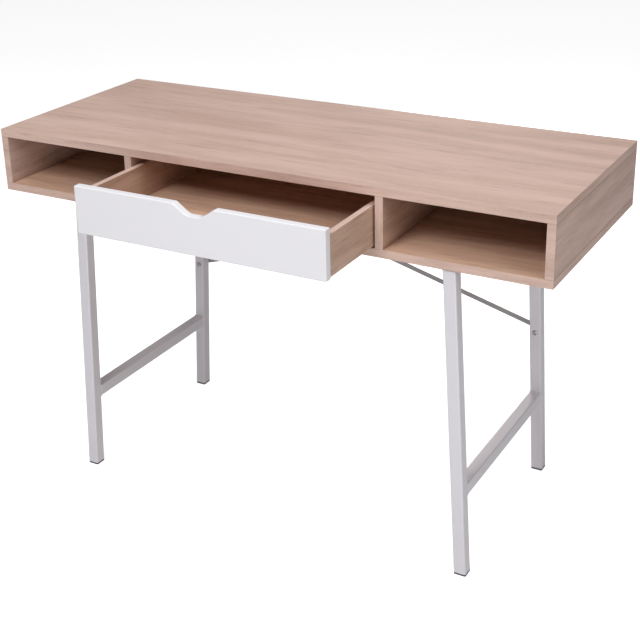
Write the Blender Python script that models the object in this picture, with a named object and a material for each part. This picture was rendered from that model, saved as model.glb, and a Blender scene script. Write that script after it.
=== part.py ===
"""Writing desk: a low oak-board box with two open compartments and one pull-out drawer between them,
carried by two splayed square-tube H frames with a crossed pair of flat braces at the back.

Metres, +Z up, +X right, -Y towards the person who sits at the desk. The floor is Z = 0. The drawer is
modelled DRAWER_OPEN out of the box, and the origin is on the floor under the middle of the whole object,
drawer included.
"""

import math

import bmesh
import bpy
from mathutils import Matrix, Vector

# ---- driving dimensions ------------------------------------------------------------------------------
WIDTH = 1.200
DEPTH = 0.470
HEIGHT = 0.760
BOX_HEIGHT = 0.132
BOARD = 0.016
GAP = 0.0003  # clearance between pieces that touch
EASE = 0.0006  # eased edge of the laminated boards
THIN_EASE = 0.0004  # and of the thin sheets

DRAWER_OPEN = 0.176  # how far the drawer is out at rest
DRAWER_TRAVEL = 0.270  # how far it comes out before it meets its stops
DRAWER_BAY = 0.534  # clear width between the two dividers

# box
FRONT_Y = -(DEPTH + DRAWER_OPEN) / 2 + DRAWER_OPEN
REAR_Y = FRONT_Y + DEPTH
UNDERSIDE_Z = HEIGHT - BOX_HEIGHT
SHELF_Z = UNDERSIDE_Z + BOARD
CEILING_Z = HEIGHT - BOARD
BACK_FACE_Y = REAR_Y - BOARD
SIDE_X = (WIDTH - BOARD) / 2
DIVIDER_X = (DRAWER_BAY + BOARD) / 2

# box fittings
DOWEL_R, DOWEL_IN_TOP, DOWEL_IN_EDGE = 0.004, 0.011, 0.019
CAM_R, CAM_DEPTH, CAM_DROP = 0.0075, 0.0125, 0.034
CAM_BOLT_R, CAM_BOLT_IN_TOP = 0.0025, 0.010
CONFIRMAT_R, CONFIRMAT_NECK_R, CONFIRMAT_HEAD_R = 0.0025, 0.0034, 0.0048
CONFIRMAT_HEAD, CONFIRMAT_LENGTH = 0.004, 0.046
DOWEL_YS = (FRONT_Y + 0.055, FRONT_Y + 0.405)
CAM_YS = (FRONT_Y + 0.105, FRONT_Y + 0.355)
CONFIRMAT_YS = (FRONT_Y + 0.080, FRONT_Y + 0.380)
BACK_CONFIRMAT_XS = (-0.50, 0.0, 0.50)

# drawer, measured from the bottom middle of its front face
FRONT_THICK = 0.016
FRONT_WIDTH = 0.530
FRONT_HEIGHT = 0.094
FRONT_ROUND = 0.0018
DRAWER_LIFT = 0.001  # drawer front above the box floor
SIDE_THICK = 0.012
SIDE_OUTER = 0.263
SIDE_LOW, SIDE_HIGH = 0.002, 0.080
DRAWER_LENGTH = 0.400
FLOOR_THICK = 0.004
FLOOR_Z = 0.009
GROOVE_DEPTH = 0.005
NOTCH_TOP, NOTCH_FLAT, NOTCH_DEPTH = 0.087, 0.032, 0.0195
NOTCH_TOP_R, NOTCH_FLAT_R = 0.006, 0.024
SMALL_CAM_R, SMALL_CAM_DEPTH, SMALL_CAM_BACK, SMALL_CAM_Z = 0.006, 0.009, 0.026, 0.046
SMALL_DOWEL_R, SMALL_DOWEL_IN, SMALL_DOWEL_BACK = 0.003, 0.010, 0.018
SMALL_DOWEL_ZS = (0.026, 0.066)
DRAWER_SCREW_R, DRAWER_SCREW_HEAD_R, DRAWER_SCREW_LENGTH = 0.0018, 0.0036, 0.030
DRAWER_SCREW_ZS = (0.028, 0.066)

# drawer guides
GUIDE_X = SIDE_OUTER - SIDE_THICK / 2
GLIDE_WIDTH, GLIDE_HEIGHT, GLIDE_SPAN = 0.010, 0.0027, (0.020, 0.430)
KICKER_WIDTH, KICKER_GAP, KICKER_SPAN = 0.012, 0.0015, (0.060, 0.450)
STOP_X, STOP_WIDTH, STOP_DEPTH, STOP_HANG = 0.225, 0.020, 0.019, 0.022
GUIDE_SCREW_R, GUIDE_SCREW_HEAD_R, GUIDE_SCREW_BITE = 0.0015, 0.0030, 0.009
GUIDE_SCREW_YS = (FRONT_Y + 0.085, FRONT_Y + 0.255, FRONT_Y + 0.425)
SINK_STRAIGHT, SINK_CONE = 0.0015, 0.0018  # countersink: depth at the head's radius, then of its cone

# leg frames
TUBE = 0.025
WALL = 0.0015
TUBE_R = 0.0028
LEG_TOP_X = 0.4095  # centre line of a leg at the top
SPLAY = 0.034  # how much wider each leg stands at the floor
LEG_FRONT_Y = FRONT_Y + 0.003 + TUBE / 2
LEG_REAR_Y = REAR_Y - 0.015 - TUBE / 2
PLATE = 0.002
PLATE_LONG, PLATE_SHORT, PLATE_SETBACK = 0.070, 0.050, 0.001
CAP_HEIGHT, CAP_STEM, CAP_EASE = 0.004, 0.020, 0.0008
CROSSBAR_Z = 0.178
LEG_TOP_Z = UNDERSIDE_Z - GAP - PLATE - GAP
PLATE_SCREW_R, PLATE_SCREW_HEAD_R, PLATE_SCREW_HEAD, PLATE_SCREW_BITE = 0.0020, 0.0040, 0.0022, 0.012
PLATE_SCREW_IN, PLATE_SCREW_NEAR = 0.010, 0.014  # screw centres from the edges, and from the outer end

# braces
BRACE_LOW_Z, BRACE_HIGH_Z = 0.328, 0.560
BRACE_WIDTH, BRACE_THICK = 0.010, 0.002
BOLT_R, BOLT_HEAD_R, BOLT_HEAD = 0.003, 0.0055, 0.0032
NUT_ACROSS, NUT_THICK, BOLT_PAST_NUT = 0.010, 0.005, 0.002
SPACER_R = 0.0062
BRACE_END_STEPS = 6
HEAD_FLAT, HEAD_DOME = 0.60, 0.50  # domed heads: flat middle over radius, dome's height over head's

SIDES = 12  # sides of the small round fittings
CAM_SIDES = 24  # sides of the round pockets for the cam locks
CORNER_STEPS = 3

SIDE_NAMES = {-1: "left", 1: "right"}


# ---- scene and materials -----------------------------------------------------------------------------
def clear_scene():
    for obj in list(bpy.data.objects):
        bpy.data.objects.remove(obj, do_unlink=True)


def material(name, color, roughness, metallic=0.0):
    mat = bpy.data.materials.new(name)
    mat.use_nodes = True
    shader = mat.node_tree.nodes["Principled BSDF"]
    shader.inputs["Base Color"].default_value = (*color, 1.0)
    shader.inputs["Roughness"].default_value = roughness
    shader.inputs["Metallic"].default_value = metallic
    mat.diffuse_color = (*color, 1.0)
    return mat


def make_materials():
    return {
        "oak": material("oak_laminate", (0.60, 0.43, 0.33), 0.45),
        "white": material("white_lacquer", (0.80, 0.79, 0.82), 0.30),
        "frame": material("white_powder_coat", (0.74, 0.72, 0.77), 0.40),
        "grey_steel": material("grey_steel", (0.38, 0.37, 0.38), 0.40, 0.5),
        "zinc": material("zinc_plated", (0.55, 0.55, 0.56), 0.35, 1.0),
        "black": material("dark_plastic", (0.07, 0.07, 0.08), 0.55),
        "nylon": material("white_nylon", (0.78, 0.78, 0.76), 0.40),
    }


# ---- mesh helpers ------------------------------------------------------------------------------------
def finish_mesh(name, bm, mat, parent=None, location=(0, 0, 0)):
    """Turns bm, whose points are relative to location, into an object with outward faces."""
    bmesh.ops.recalc_face_normals(bm, faces=bm.faces)
    mesh = bpy.data.meshes.new(name)
    bm.to_mesh(mesh)
    bm.free()
    mesh.shade_smooth()
    mesh.set_sharp_from_angle(angle=math.radians(35))
    mesh.materials.append(mat)
    obj = bpy.data.objects.new(name, mesh)
    obj.location = location
    obj.parent = parent
    bpy.context.scene.collection.objects.link(obj)
    return obj


def empty(name, location):
    obj = bpy.data.objects.new(name, None)
    obj.location = location
    bpy.context.scene.collection.objects.link(obj)
    return obj


def add_block(bm, low, high):
    low, high = Vector(low), Vector(high)
    place = Matrix.LocRotScale((low + high) / 2, None, high - low)
    bmesh.ops.create_cube(bm, size=1.0, matrix=place)


def bevel(obj, width, segments=1):
    mod = obj.modifiers.new("eased_edges", "BEVEL")
    mod.width = width
    mod.segments = segments
    mod.limit_method = "ANGLE"
    mod.angle_limit = math.radians(50)


def block(name, low, high, mat, parent=None, ease=EASE):
    """A rectangular piece with eased edges, its origin at its own centre."""
    low, high = Vector(low), Vector(high)
    centre = (low + high) / 2
    bm = bmesh.new()
    add_block(bm, low - centre, high - centre)
    obj = finish_mesh(name, bm, mat, parent, centre)
    bevel(obj, ease)
    return obj


def mirror_span(low, high, side):
    """The X limits of a piece that spans low to high on the right, on the given side."""
    return (low, high) if side > 0 else (-high, -low)


def across(axis):
    """Two unit vectors that make a right-handed set with axis."""
    axis = Vector(axis).normalized()
    first = axis.orthogonal().normalized()
    return first, axis.cross(first)


def add_turned(bm, base, axis, profile, sides=SIDES):
    """Adds a closed turned body. profile is (radius, distance along axis from base), end to end."""
    axis = Vector(axis).normalized()
    u, v = across(axis)
    base = Vector(base)
    rings = []
    for radius, along in profile:
        ring = []
        for i in range(sides):
            angle = 2 * math.pi * (i + 0.5) / sides
            outward = u * math.cos(angle) + v * math.sin(angle)
            ring.append(bm.verts.new(base + axis * along + outward * radius))
        rings.append(ring)
    for lower, upper in zip(rings, rings[1:]):
        for i in range(sides):
            j = (i + 1) % sides
            bm.faces.new((lower[i], lower[j], upper[j], upper[i]))
    bm.faces.new(rings[0][::-1])
    bm.faces.new(rings[-1])


def turned(name, base, axis, profile, mat, sides=SIDES):
    """A turned piece of its own, its origin at base."""
    bm = bmesh.new()
    add_turned(bm, (0, 0, 0), axis, profile, sides)
    return finish_mesh(name, bm, mat, location=base)


def add_rod(bm, start, end, radius, sides=SIDES):
    start, end = Vector(start), Vector(end)
    add_turned(bm, start, end - start, [(radius, 0.0), (radius, (end - start).length)], sides)


def drill(obj, add_holes):
    """Cuts obj with the bodies that add_holes puts into a bmesh, in the space of obj's parent."""
    bm = bmesh.new()
    add_holes(bm)
    cutter = finish_mesh(obj.name + "_holes", bm, obj.data.materials[0], obj.parent)
    cutter.hide_render = True
    cutter.display_type = "WIRE"
    mod = obj.modifiers.new("holes", "BOOLEAN")
    mod.operation = "DIFFERENCE"
    mod.solver = "EXACT"
    mod.object = cutter
    facets = obj.modifiers.new("even_triangles", "TRIANGULATE")
    facets.ngon_method = "BEAUTY"


def countersink(head_radius, radius, depth):
    """Profile of a countersunk hole that starts a little outside the surface."""
    return [
        (head_radius + GAP, -SINK_STRAIGHT),
        (head_radius + GAP, SINK_STRAIGHT),
        (radius + GAP, SINK_STRAIGHT + SINK_CONE),
        (radius + GAP, depth),
    ]


def rounded_square(size, radius, steps=CORNER_STEPS):
    """Points of a square with rounded corners, counterclockwise."""
    inner = size / 2 - radius
    points = []
    for corner in range(4):
        centre = Matrix.Rotation(math.radians(90 * corner), 2) @ Vector((inner, inner))
        for step in range(steps + 1):
            angle = math.radians(90 * corner + 90 * step / steps)
            points.append(centre + Vector((math.cos(angle), math.sin(angle))) * radius)
    return points


def add_loop(bm, points):
    return [bm.verts.new(p) for p in points]


def bridge(bm, first, second):
    count = len(first)
    for i in range(count):
        j = (i + 1) % count
        bm.faces.new((first[i], first[j], second[j], second[i]))


# ---- box ---------------------------------------------------------------------------------------------
def upright_boards():
    """(name, centre x, side that its cam fittings face) of the four boards between top and bottom."""
    return [
        ("left_side_panel", -SIDE_X, 1),
        ("left_divider", -DIVIDER_X, 1),
        ("right_divider", DIVIDER_X, -1),
        ("right_side_panel", SIDE_X, -1),
    ]


def top_holes(bm):
    for _, x, _ in upright_boards():
        for y in DOWEL_YS:
            add_rod(bm, (x, y, CEILING_Z - BOARD), (x, y, CEILING_Z + DOWEL_IN_TOP + GAP), DOWEL_R + GAP)
        for y in CAM_YS:
            high_z = CEILING_Z + CAM_BOLT_IN_TOP + GAP
            add_rod(bm, (x, y, CEILING_Z - BOARD), (x, y, high_z), CAM_BOLT_R + GAP)
    for x, y in guide_screw_places():
        high_z = CEILING_Z + GUIDE_SCREW_BITE + GAP
        add_rod(bm, (x, y, CEILING_Z - BOARD), (x, y, high_z), GUIDE_SCREW_R + GAP)


def confirmat_places():
    uprights = [(x, y) for _, x, _ in upright_boards() for y in CONFIRMAT_YS]
    return uprights + [(x, REAR_Y - BOARD / 2) for x in BACK_CONFIRMAT_XS]


def bottom_holes(bm):
    head_top = UNDERSIDE_Z + CONFIRMAT_HEAD + GAP
    for x, y in confirmat_places():
        profile = [
            (CONFIRMAT_HEAD_R + GAP, -BOARD),
            (CONFIRMAT_HEAD_R + GAP, head_top - UNDERSIDE_Z),
            (CONFIRMAT_NECK_R + GAP, head_top - UNDERSIDE_Z),
            (CONFIRMAT_NECK_R + GAP, 2 * BOARD),
        ]
        add_turned(bm, (x, y, UNDERSIDE_Z), (0, 0, 1), profile)
    for x, y in plate_screw_places():
        start = (x, y, UNDERSIDE_Z - BOARD)
        add_rod(bm, start, (x, y, UNDERSIDE_Z + PLATE_SCREW_BITE + GAP), PLATE_SCREW_R + GAP)


def upright_holes(x, facing):
    inner_face = x + facing * BOARD / 2

    def add_holes(bm):
        for y in DOWEL_YS:
            add_rod(bm, (x, y, CEILING_Z - DOWEL_IN_EDGE - GAP), (x, y, HEIGHT), DOWEL_R + GAP)
        for y in CAM_YS:
            cam_z = CEILING_Z - CAM_DROP
            add_rod(bm, (x, y, cam_z + CAM_R), (x, y, HEIGHT), CAM_BOLT_R + GAP)
            floor = inner_face - facing * (CAM_DEPTH + GAP)
            add_rod(bm, (floor, y, cam_z), (inner_face + facing * BOARD, y, cam_z), CAM_R + GAP, CAM_SIDES)
        for y in CONFIRMAT_YS:
            top = UNDERSIDE_Z + CONFIRMAT_LENGTH + GAP
            add_rod(bm, (x, y, UNDERSIDE_Z), (x, y, top), CONFIRMAT_R + GAP)

    return add_holes


def back_holes(bm):
    for x in BACK_CONFIRMAT_XS:
        y = REAR_Y - BOARD / 2
        add_rod(bm, (x, y, UNDERSIDE_Z), (x, y, UNDERSIDE_Z + CONFIRMAT_LENGTH + GAP), CONFIRMAT_R + GAP)


def build_box(mats):
    half = WIDTH / 2
    top = block("top_panel", (-half, FRONT_Y, CEILING_Z), (half, REAR_Y, HEIGHT), mats["oak"])
    drill(top, top_holes)
    bottom = block("bottom_panel", (-half, FRONT_Y, UNDERSIDE_Z), (half, REAR_Y, SHELF_Z), mats["oak"])
    drill(bottom, bottom_holes)
    for name, x, facing in upright_boards():
        rear = REAR_Y if "side" in name else BACK_FACE_Y - GAP
        low = (x - BOARD / 2, FRONT_Y, SHELF_Z + GAP)
        high = (x + BOARD / 2, rear, CEILING_Z - GAP)
        drill(block(name, low, high, mats["oak"]), upright_holes(x, facing))
    end = half - BOARD - GAP
    low, high = (-end, BACK_FACE_Y, SHELF_Z + GAP), (end, REAR_Y, CEILING_Z - GAP)
    back = block("back_panel", low, high, mats["oak"])
    drill(back, back_holes)


# ---- drawer guides inside the box --------------------------------------------------------------------
def kicker_low_z():
    return SHELF_Z + DRAWER_LIFT + SIDE_HIGH + KICKER_GAP


def stop_front_y():
    """Front face of the stop blocks: the drawer's back board meets their rear face at full travel."""
    return FRONT_Y - DRAWER_TRAVEL + DRAWER_LENGTH - SIDE_THICK - 2 * GAP - STOP_DEPTH


def guide_screw_places():
    """Screw places of the kicker strips and stop blocks."""
    kickers = [(side * GUIDE_X, y) for side in (-1, 1) for y in GUIDE_SCREW_YS]
    return kickers + [(side * STOP_X, stop_front_y() + STOP_DEPTH / 2) for side in (-1, 1)]


def build_guides(mats):
    for side, word in SIDE_NAMES.items():
        x = side * GUIDE_X
        low = (x - GLIDE_WIDTH / 2, FRONT_Y + GLIDE_SPAN[0], SHELF_Z + GAP)
        high = (x + GLIDE_WIDTH / 2, FRONT_Y + GLIDE_SPAN[1], SHELF_Z + GLIDE_HEIGHT)
        block(word + "_glide_strip", low, high, mats["nylon"])
        low = (x - KICKER_WIDTH / 2, FRONT_Y + KICKER_SPAN[0], kicker_low_z())
        high = (x + KICKER_WIDTH / 2, FRONT_Y + KICKER_SPAN[1], CEILING_Z - GAP)
        drill(block(word + "_kicker_strip", low, high, mats["oak"]), guide_screw_holes)
        x, y = side * STOP_X, stop_front_y()
        low = (x - STOP_WIDTH / 2, y, CEILING_Z - STOP_HANG)
        high = (x + STOP_WIDTH / 2, y + STOP_DEPTH, CEILING_Z - GAP)
        drill(block(word + "_stop_block", low, high, mats["nylon"]), guide_screw_holes)


def guide_screw_holes(bm):
    """Countersunk holes of all guide screws, at the depth of the strip or block that each goes through."""
    for x, y in guide_screw_places():
        low_z = CEILING_Z - STOP_HANG if abs(x) == STOP_X else kicker_low_z()
        profile = countersink(GUIDE_SCREW_HEAD_R, GUIDE_SCREW_R, BOARD + STOP_HANG)
        add_turned(bm, (x, y, low_z), (0, 0, 1), profile)


# ---- drawer ------------------------------------------------------------------------------------------
def fillet(before, corner, after, radius, steps=4):
    """Points of the arc that rounds the corner between two straight runs."""
    before, corner, after = Vector(before), Vector(corner), Vector(after)
    a, b = (before - corner).normalized(), (after - corner).normalized()
    half = a.angle(b) / 2
    centre = corner + (a + b).normalized() * radius / math.sin(half)
    start = (corner + a * radius / math.tan(half) - centre).normalized()
    end = (corner + b * radius / math.tan(half) - centre).normalized()
    return [centre + start.slerp(end, i / steps) * radius for i in range(steps + 1)]


def front_outline():
    """Outline of the drawer front in (x, z): a rectangle with a rounded trapezoid notch in its top edge."""
    half = FRONT_WIDTH / 2
    low_z = FRONT_HEIGHT - NOTCH_DEPTH
    path = [
        Vector((half, FRONT_HEIGHT)),
        Vector((NOTCH_TOP / 2, FRONT_HEIGHT)),
        Vector((NOTCH_FLAT / 2, low_z)),
        Vector((-NOTCH_FLAT / 2, low_z)),
        Vector((-NOTCH_TOP / 2, FRONT_HEIGHT)),
        Vector((-half, FRONT_HEIGHT)),
    ]
    radii = (NOTCH_TOP_R, NOTCH_FLAT_R, NOTCH_FLAT_R, NOTCH_TOP_R)
    outline = [Vector((-half, 0.0)), Vector((half, 0.0)), path[0]]
    for i, radius in enumerate(radii, start=1):
        outline += fillet(path[i - 1], path[i], path[i + 1], radius)
    return outline + [path[-1]]


def build_drawer_front(mats, drawer):
    bm = bmesh.new()
    outline = front_outline()
    near = add_loop(bm, [(p.x, 0.0, p.y) for p in outline])
    far = add_loop(bm, [(p.x, FRONT_THICK, p.y) for p in outline])
    bm.faces.new(near)
    bm.faces.new(far[::-1])
    bridge(bm, near, far)
    front = finish_mesh("drawer_front", bm, mats["white"], drawer)
    bevel(front, FRONT_ROUND, 3)
    drill(front, front_holes)


def small_fitting_places():
    """(x, z, radius) of the dowels and cam bolts that hold the drawer front."""
    places = []
    for side in (-1, 1):
        x = side * GUIDE_X
        places += [(x, z, SMALL_DOWEL_R) for z in SMALL_DOWEL_ZS]
        places.append((x, SMALL_CAM_Z, CAM_BOLT_R))
    return places


def small_reach(radius):
    """How far back a front fitting goes into the drawer side: dowels end in wood, bolts at the cam."""
    if radius == CAM_BOLT_R:
        return SMALL_CAM_BACK - SMALL_CAM_R
    return SMALL_DOWEL_BACK


def front_holes(bm):
    for x, z, radius in small_fitting_places():
        add_rod(bm, (x, FRONT_THICK - SMALL_DOWEL_IN - GAP, z), (x, 2 * FRONT_THICK, z), radius + GAP)
    edge = SIDE_OUTER - SIDE_THICK + GROOVE_DEPTH
    low = (-edge, FRONT_THICK - GROOVE_DEPTH, FLOOR_Z - GAP)
    add_block(bm, low, (edge, 2 * FRONT_THICK, FLOOR_Z + FLOOR_THICK + GAP))


def side_holes(side):
    inner = side * (SIDE_OUTER - SIDE_THICK)

    def add_holes(bm):
        xs = sorted((inner - side * SIDE_THICK, inner + side * GROOVE_DEPTH))
        low = (xs[0], 0.0, FLOOR_Z - GAP)
        add_block(bm, low, (xs[1], DRAWER_LENGTH + BOARD, FLOOR_Z + FLOOR_THICK + GAP))
        for x, z, radius in small_fitting_places():
            if x * side > 0:
                end = FRONT_THICK + small_reach(radius) + GAP
                add_rod(bm, (x, 0.0, z), (x, end, z), radius + GAP)
        x, y, z = cam_place(side)
        add_rod(bm, (x + side * GAP, y, z), (inner - side * SIDE_THICK, y, z), SMALL_CAM_R + GAP, CAM_SIDES)
        for y, z in back_screw_places():
            profile = countersink(DRAWER_SCREW_HEAD_R, DRAWER_SCREW_R, 2 * SIDE_THICK)
            add_turned(bm, (side * SIDE_OUTER, y, z), (-side, 0, 0), profile)

    return add_holes


def cam_place(side):
    """Inner end of the cam that holds the drawer front to a drawer side."""
    x = side * (SIDE_OUTER - SIDE_THICK + SMALL_CAM_DEPTH)
    return x, FRONT_THICK + SMALL_CAM_BACK, SMALL_CAM_Z


def back_screw_places():
    """(y, z) of the screws that go through the drawer sides into its back."""
    y = DRAWER_LENGTH - SIDE_THICK / 2
    return [(y, z) for z in DRAWER_SCREW_ZS]


def back_board_holes(bm):
    inner = SIDE_OUTER - SIDE_THICK
    for side in (-1, 1):
        for y, z in back_screw_places():
            start = (side * (inner + SIDE_THICK), y, z)
            end = (side * (SIDE_OUTER - DRAWER_SCREW_LENGTH - GAP), y, z)
            add_rod(bm, start, end, DRAWER_SCREW_R + GAP)


def build_drawer(mats, drawer):
    build_drawer_front(mats, drawer)
    inner = SIDE_OUTER - SIDE_THICK
    for side, word in SIDE_NAMES.items():
        xs = mirror_span(inner, SIDE_OUTER, side)
        low, high = (xs[0], FRONT_THICK + GAP, SIDE_LOW), (xs[1], DRAWER_LENGTH, SIDE_HIGH)
        drill(block(f"drawer_{word}_side", low, high, mats["oak"], drawer), side_holes(side))
    low = (-inner + GAP, DRAWER_LENGTH - SIDE_THICK, FLOOR_Z + FLOOR_THICK + GAP)
    back = block("drawer_back", low, (inner - GAP, DRAWER_LENGTH, SIDE_HIGH), mats["oak"], drawer)
    drill(back, back_board_holes)
    reach = inner + GROOVE_DEPTH - 2 * GAP
    low = (-reach, FRONT_THICK - GROOVE_DEPTH + 2 * GAP, FLOOR_Z)
    high = (reach, DRAWER_LENGTH, FLOOR_Z + FLOOR_THICK)
    block("drawer_bottom", low, high, mats["oak"], drawer, ease=THIN_EASE)


# ---- leg frames --------------------------------------------------------------------------------------
def leg_x(z, side):
    """X of a leg's centre line at height z."""
    return side * (LEG_TOP_X + SPLAY * (UNDERSIDE_Z - z) / UNDERSIDE_Z)


def leg_ring(bm, size, radius, z, side, y):
    return add_loop(bm, [(leg_x(z, side) + p.x, y + p.y, z) for p in rounded_square(size, radius)])


def legs():
    """(name stem, side, y of the centre line) of the four legs."""
    rows = (("front", LEG_FRONT_Y), ("rear", LEG_REAR_Y))
    return [(f"{row}_{word}", side, y) for side, word in SIDE_NAMES.items() for row, y in rows]


def build_leg(name, side, y, mats):
    """A square tube cut level at both ends; its centre line leans outwards towards the floor."""
    bm = bmesh.new()
    ends = (CAP_HEIGHT + GAP, LEG_TOP_Z)
    outer = [leg_ring(bm, TUBE, TUBE_R, z, side, y) for z in ends]
    inner = [leg_ring(bm, TUBE - 2 * WALL, TUBE_R - WALL, z, side, y) for z in ends]
    bridge(bm, *outer)
    bridge(bm, *inner[::-1])
    bridge(bm, inner[0], outer[0])
    bridge(bm, outer[1], inner[1])
    leg = finish_mesh(name + "_leg", bm, mats["frame"])
    if name.startswith("rear"):
        drill(leg, lambda holes: leg_bolt_holes(holes, side))


def leg_bolt_holes(bm, side):
    for z in (BRACE_LOW_Z, BRACE_HIGH_Z):
        x = leg_x(z, side)
        add_rod(bm, (x, LEG_REAR_Y - TUBE, z), (x, LEG_REAR_Y + TUBE, z), BOLT_R + GAP)


def build_foot_cap(name, side, y, mats):
    """Plug whose flange closes the tube's end and stands on the floor."""
    bm = bmesh.new()
    stem = TUBE - 2 * WALL - 2 * GAP
    levels = [
        (TUBE - 2 * CAP_EASE, TUBE_R - CAP_EASE, 0.0),
        (TUBE, TUBE_R, CAP_EASE),
        (TUBE, TUBE_R, CAP_HEIGHT),
        (stem, TUBE_R - WALL, CAP_HEIGHT),
        (stem, TUBE_R - WALL, CAP_HEIGHT + CAP_STEM),
    ]
    rings = [leg_ring(bm, size, radius, z, side, y) for size, radius, z in levels]
    for lower, upper in zip(rings, rings[1:]):
        bridge(bm, lower, upper)
    bm.faces.new(rings[0][::-1])
    bm.faces.new(rings[-1])
    finish_mesh(name + "_foot_cap", bm, mats["black"])


def build_crossbar(side, word, mats):
    """Low stretcher between the two legs of a frame, leaning with them."""
    lean = math.atan2(SPLAY, UNDERSIDE_Z) * side
    turn = Matrix.Rotation(lean, 2)
    centre = Vector((leg_x(CROSSBAR_Z, side), (LEG_FRONT_Y + LEG_REAR_Y) / 2, CROSSBAR_Z))
    reach = (LEG_REAR_Y - LEG_FRONT_Y - TUBE) / 2 - GAP
    bm = bmesh.new()
    loops = []
    for size, radius in ((TUBE, TUBE_R), (TUBE - 2 * WALL, TUBE_R - WALL)):
        points = [turn @ p for p in rounded_square(size, radius)]
        loops.append([add_loop(bm, [(p.x, y, p.y) for p in points]) for y in (-reach, reach)])
    outer, inner = loops
    bridge(bm, *outer)
    bridge(bm, *inner[::-1])
    bridge(bm, inner[0], outer[0])
    bridge(bm, outer[1], inner[1])
    finish_mesh(word + "_crossbar", bm, mats["frame"], location=centre)


def plate_limits(side, y):
    """X and Y limits of the mounting plate on top of a leg: it runs inwards and towards the desk's middle."""
    outer = LEG_TOP_X + TUBE / 2
    xs = mirror_span(outer - PLATE_LONG, outer, side)
    if y == LEG_FRONT_Y:
        edge = y - TUBE / 2 + PLATE_SETBACK
        return xs, (edge, edge + PLATE_SHORT)
    edge = y + TUBE / 2 - PLATE_SETBACK
    return xs, (edge - PLATE_SHORT, edge)


def plate_screw_places_of(side, y):
    """Three screw places round a leg's foot on its plate."""
    inward = -side
    back = 1 if y == LEG_FRONT_Y else -1
    x = side * (LEG_TOP_X + TUBE / 2)
    edge = y - back * (TUBE / 2 - PLATE_SETBACK)
    far_x, near_x = x + inward * (PLATE_LONG - PLATE_SCREW_IN), x + inward * PLATE_SCREW_NEAR
    near_y, far_y = edge + back * PLATE_SCREW_IN, edge + back * (PLATE_SHORT - PLATE_SCREW_IN)
    return [(far_x, near_y), (far_x, far_y), (near_x, far_y)]


def plate_screw_places():
    return [place for _, side, y in legs() for place in plate_screw_places_of(side, y)]


def build_plate(name, side, y, mats):
    xs, ys = plate_limits(side, y)
    top = UNDERSIDE_Z - GAP
    low, high = (xs[0], ys[0], top - PLATE), (xs[1], ys[1], top)
    plate = block(name + "_mounting_plate", low, high, mats["frame"], ease=THIN_EASE)

    def add_holes(bm):
        for x, hole_y in plate_screw_places_of(side, y):
            add_rod(bm, (x, hole_y, top - 2 * PLATE), (x, hole_y, top + PLATE), PLATE_SCREW_R + GAP)

    drill(plate, add_holes)


def build_plate_screws(name, side, y, mats):
    head_low = UNDERSIDE_Z - 2 * GAP - PLATE - PLATE_SCREW_HEAD
    profile = [
        (PLATE_SCREW_HEAD_R * HEAD_FLAT, 0.0),
        (PLATE_SCREW_HEAD_R, PLATE_SCREW_HEAD * HEAD_DOME),
        (PLATE_SCREW_HEAD_R, PLATE_SCREW_HEAD),
        (PLATE_SCREW_R, PLATE_SCREW_HEAD),
        (PLATE_SCREW_R, UNDERSIDE_Z + PLATE_SCREW_BITE - head_low),
    ]
    for number, (x, screw_y) in enumerate(plate_screw_places_of(side, y), start=1):
        turned(f"{name}_plate_screw_{number}", (x, screw_y, head_low), (0, 0, 1), profile, mats["zinc"])


def build_leg_frames(mats):
    for name, side, y in legs():
        build_leg(name, side, y, mats)
        build_foot_cap(name, side, y, mats)
        build_plate(name, side, y, mats)
        build_plate_screws(name, side, y, mats)
    for side, word in SIDE_NAMES.items():
        build_crossbar(side, word, mats)


# ---- crossed braces ----------------------------------------------------------------------------------
def brace_layers():
    """(name, side of its low end, distance of its front face behind the rear legs)."""
    behind_spacer = BRACE_THICK + 2 * GAP
    return [("left_brace", -1, GAP), ("right_brace", 1, GAP + behind_spacer)]


def brace_ends(side):
    """Bolt centres (x, z) of the brace whose low end is on the given side."""
    low = Vector((leg_x(BRACE_LOW_Z, side), BRACE_LOW_Z))
    high = Vector((leg_x(BRACE_HIGH_Z, -side), BRACE_HIGH_Z))
    return low, high


def build_brace(name, side, offset, mats):
    """Flat bar with round ends, from low on one rear leg to high on the other."""
    low, high = brace_ends(side)
    run = (high - low).normalized()
    radius = BRACE_WIDTH / 2
    outline = []
    for centre, turn in ((high, 0.0), (low, 180.0)):
        for step in range(BRACE_END_STEPS + 1):
            angle = math.radians(turn - 90 + 180 * step / BRACE_END_STEPS)
            outline.append(centre + Matrix.Rotation(angle, 2) @ run * radius)
    y = LEG_REAR_Y + TUBE / 2 + offset
    bm = bmesh.new()
    near = add_loop(bm, [(p.x, y, p.y) for p in outline])
    far = add_loop(bm, [(p.x, y + BRACE_THICK, p.y) for p in outline])
    bm.faces.new(near)
    bm.faces.new(far[::-1])
    bridge(bm, near, far)
    brace = finish_mesh(name, bm, mats["grey_steel"])

    def add_holes(holes):
        for centre in (low, high):
            start = (centre.x, y - BRACE_THICK, centre.y)
            add_rod(holes, start, (centre.x, y + 2 * BRACE_THICK, centre.y), BOLT_R + GAP)

    drill(brace, add_holes)


def build_washer(name, centre, outer_points, thickness, mat):
    """A flat ring round a bolt that runs along Y; centre is in the middle of its front face."""
    count = len(outer_points)
    inner_points = circle_points(BOLT_R + GAP, count)
    bm = bmesh.new()
    loops = []
    for y in (0.0, thickness):
        for points in (outer_points, inner_points):
            loops.append(add_loop(bm, [(p.x, y, p.y) for p in points]))
    near_outer, near_inner, far_outer, far_inner = loops
    bridge(bm, near_outer, near_inner)
    bridge(bm, far_inner, far_outer)
    bridge(bm, far_outer, near_outer)
    bridge(bm, near_inner, far_inner)
    finish_mesh(name, bm, mat, location=centre)


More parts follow.
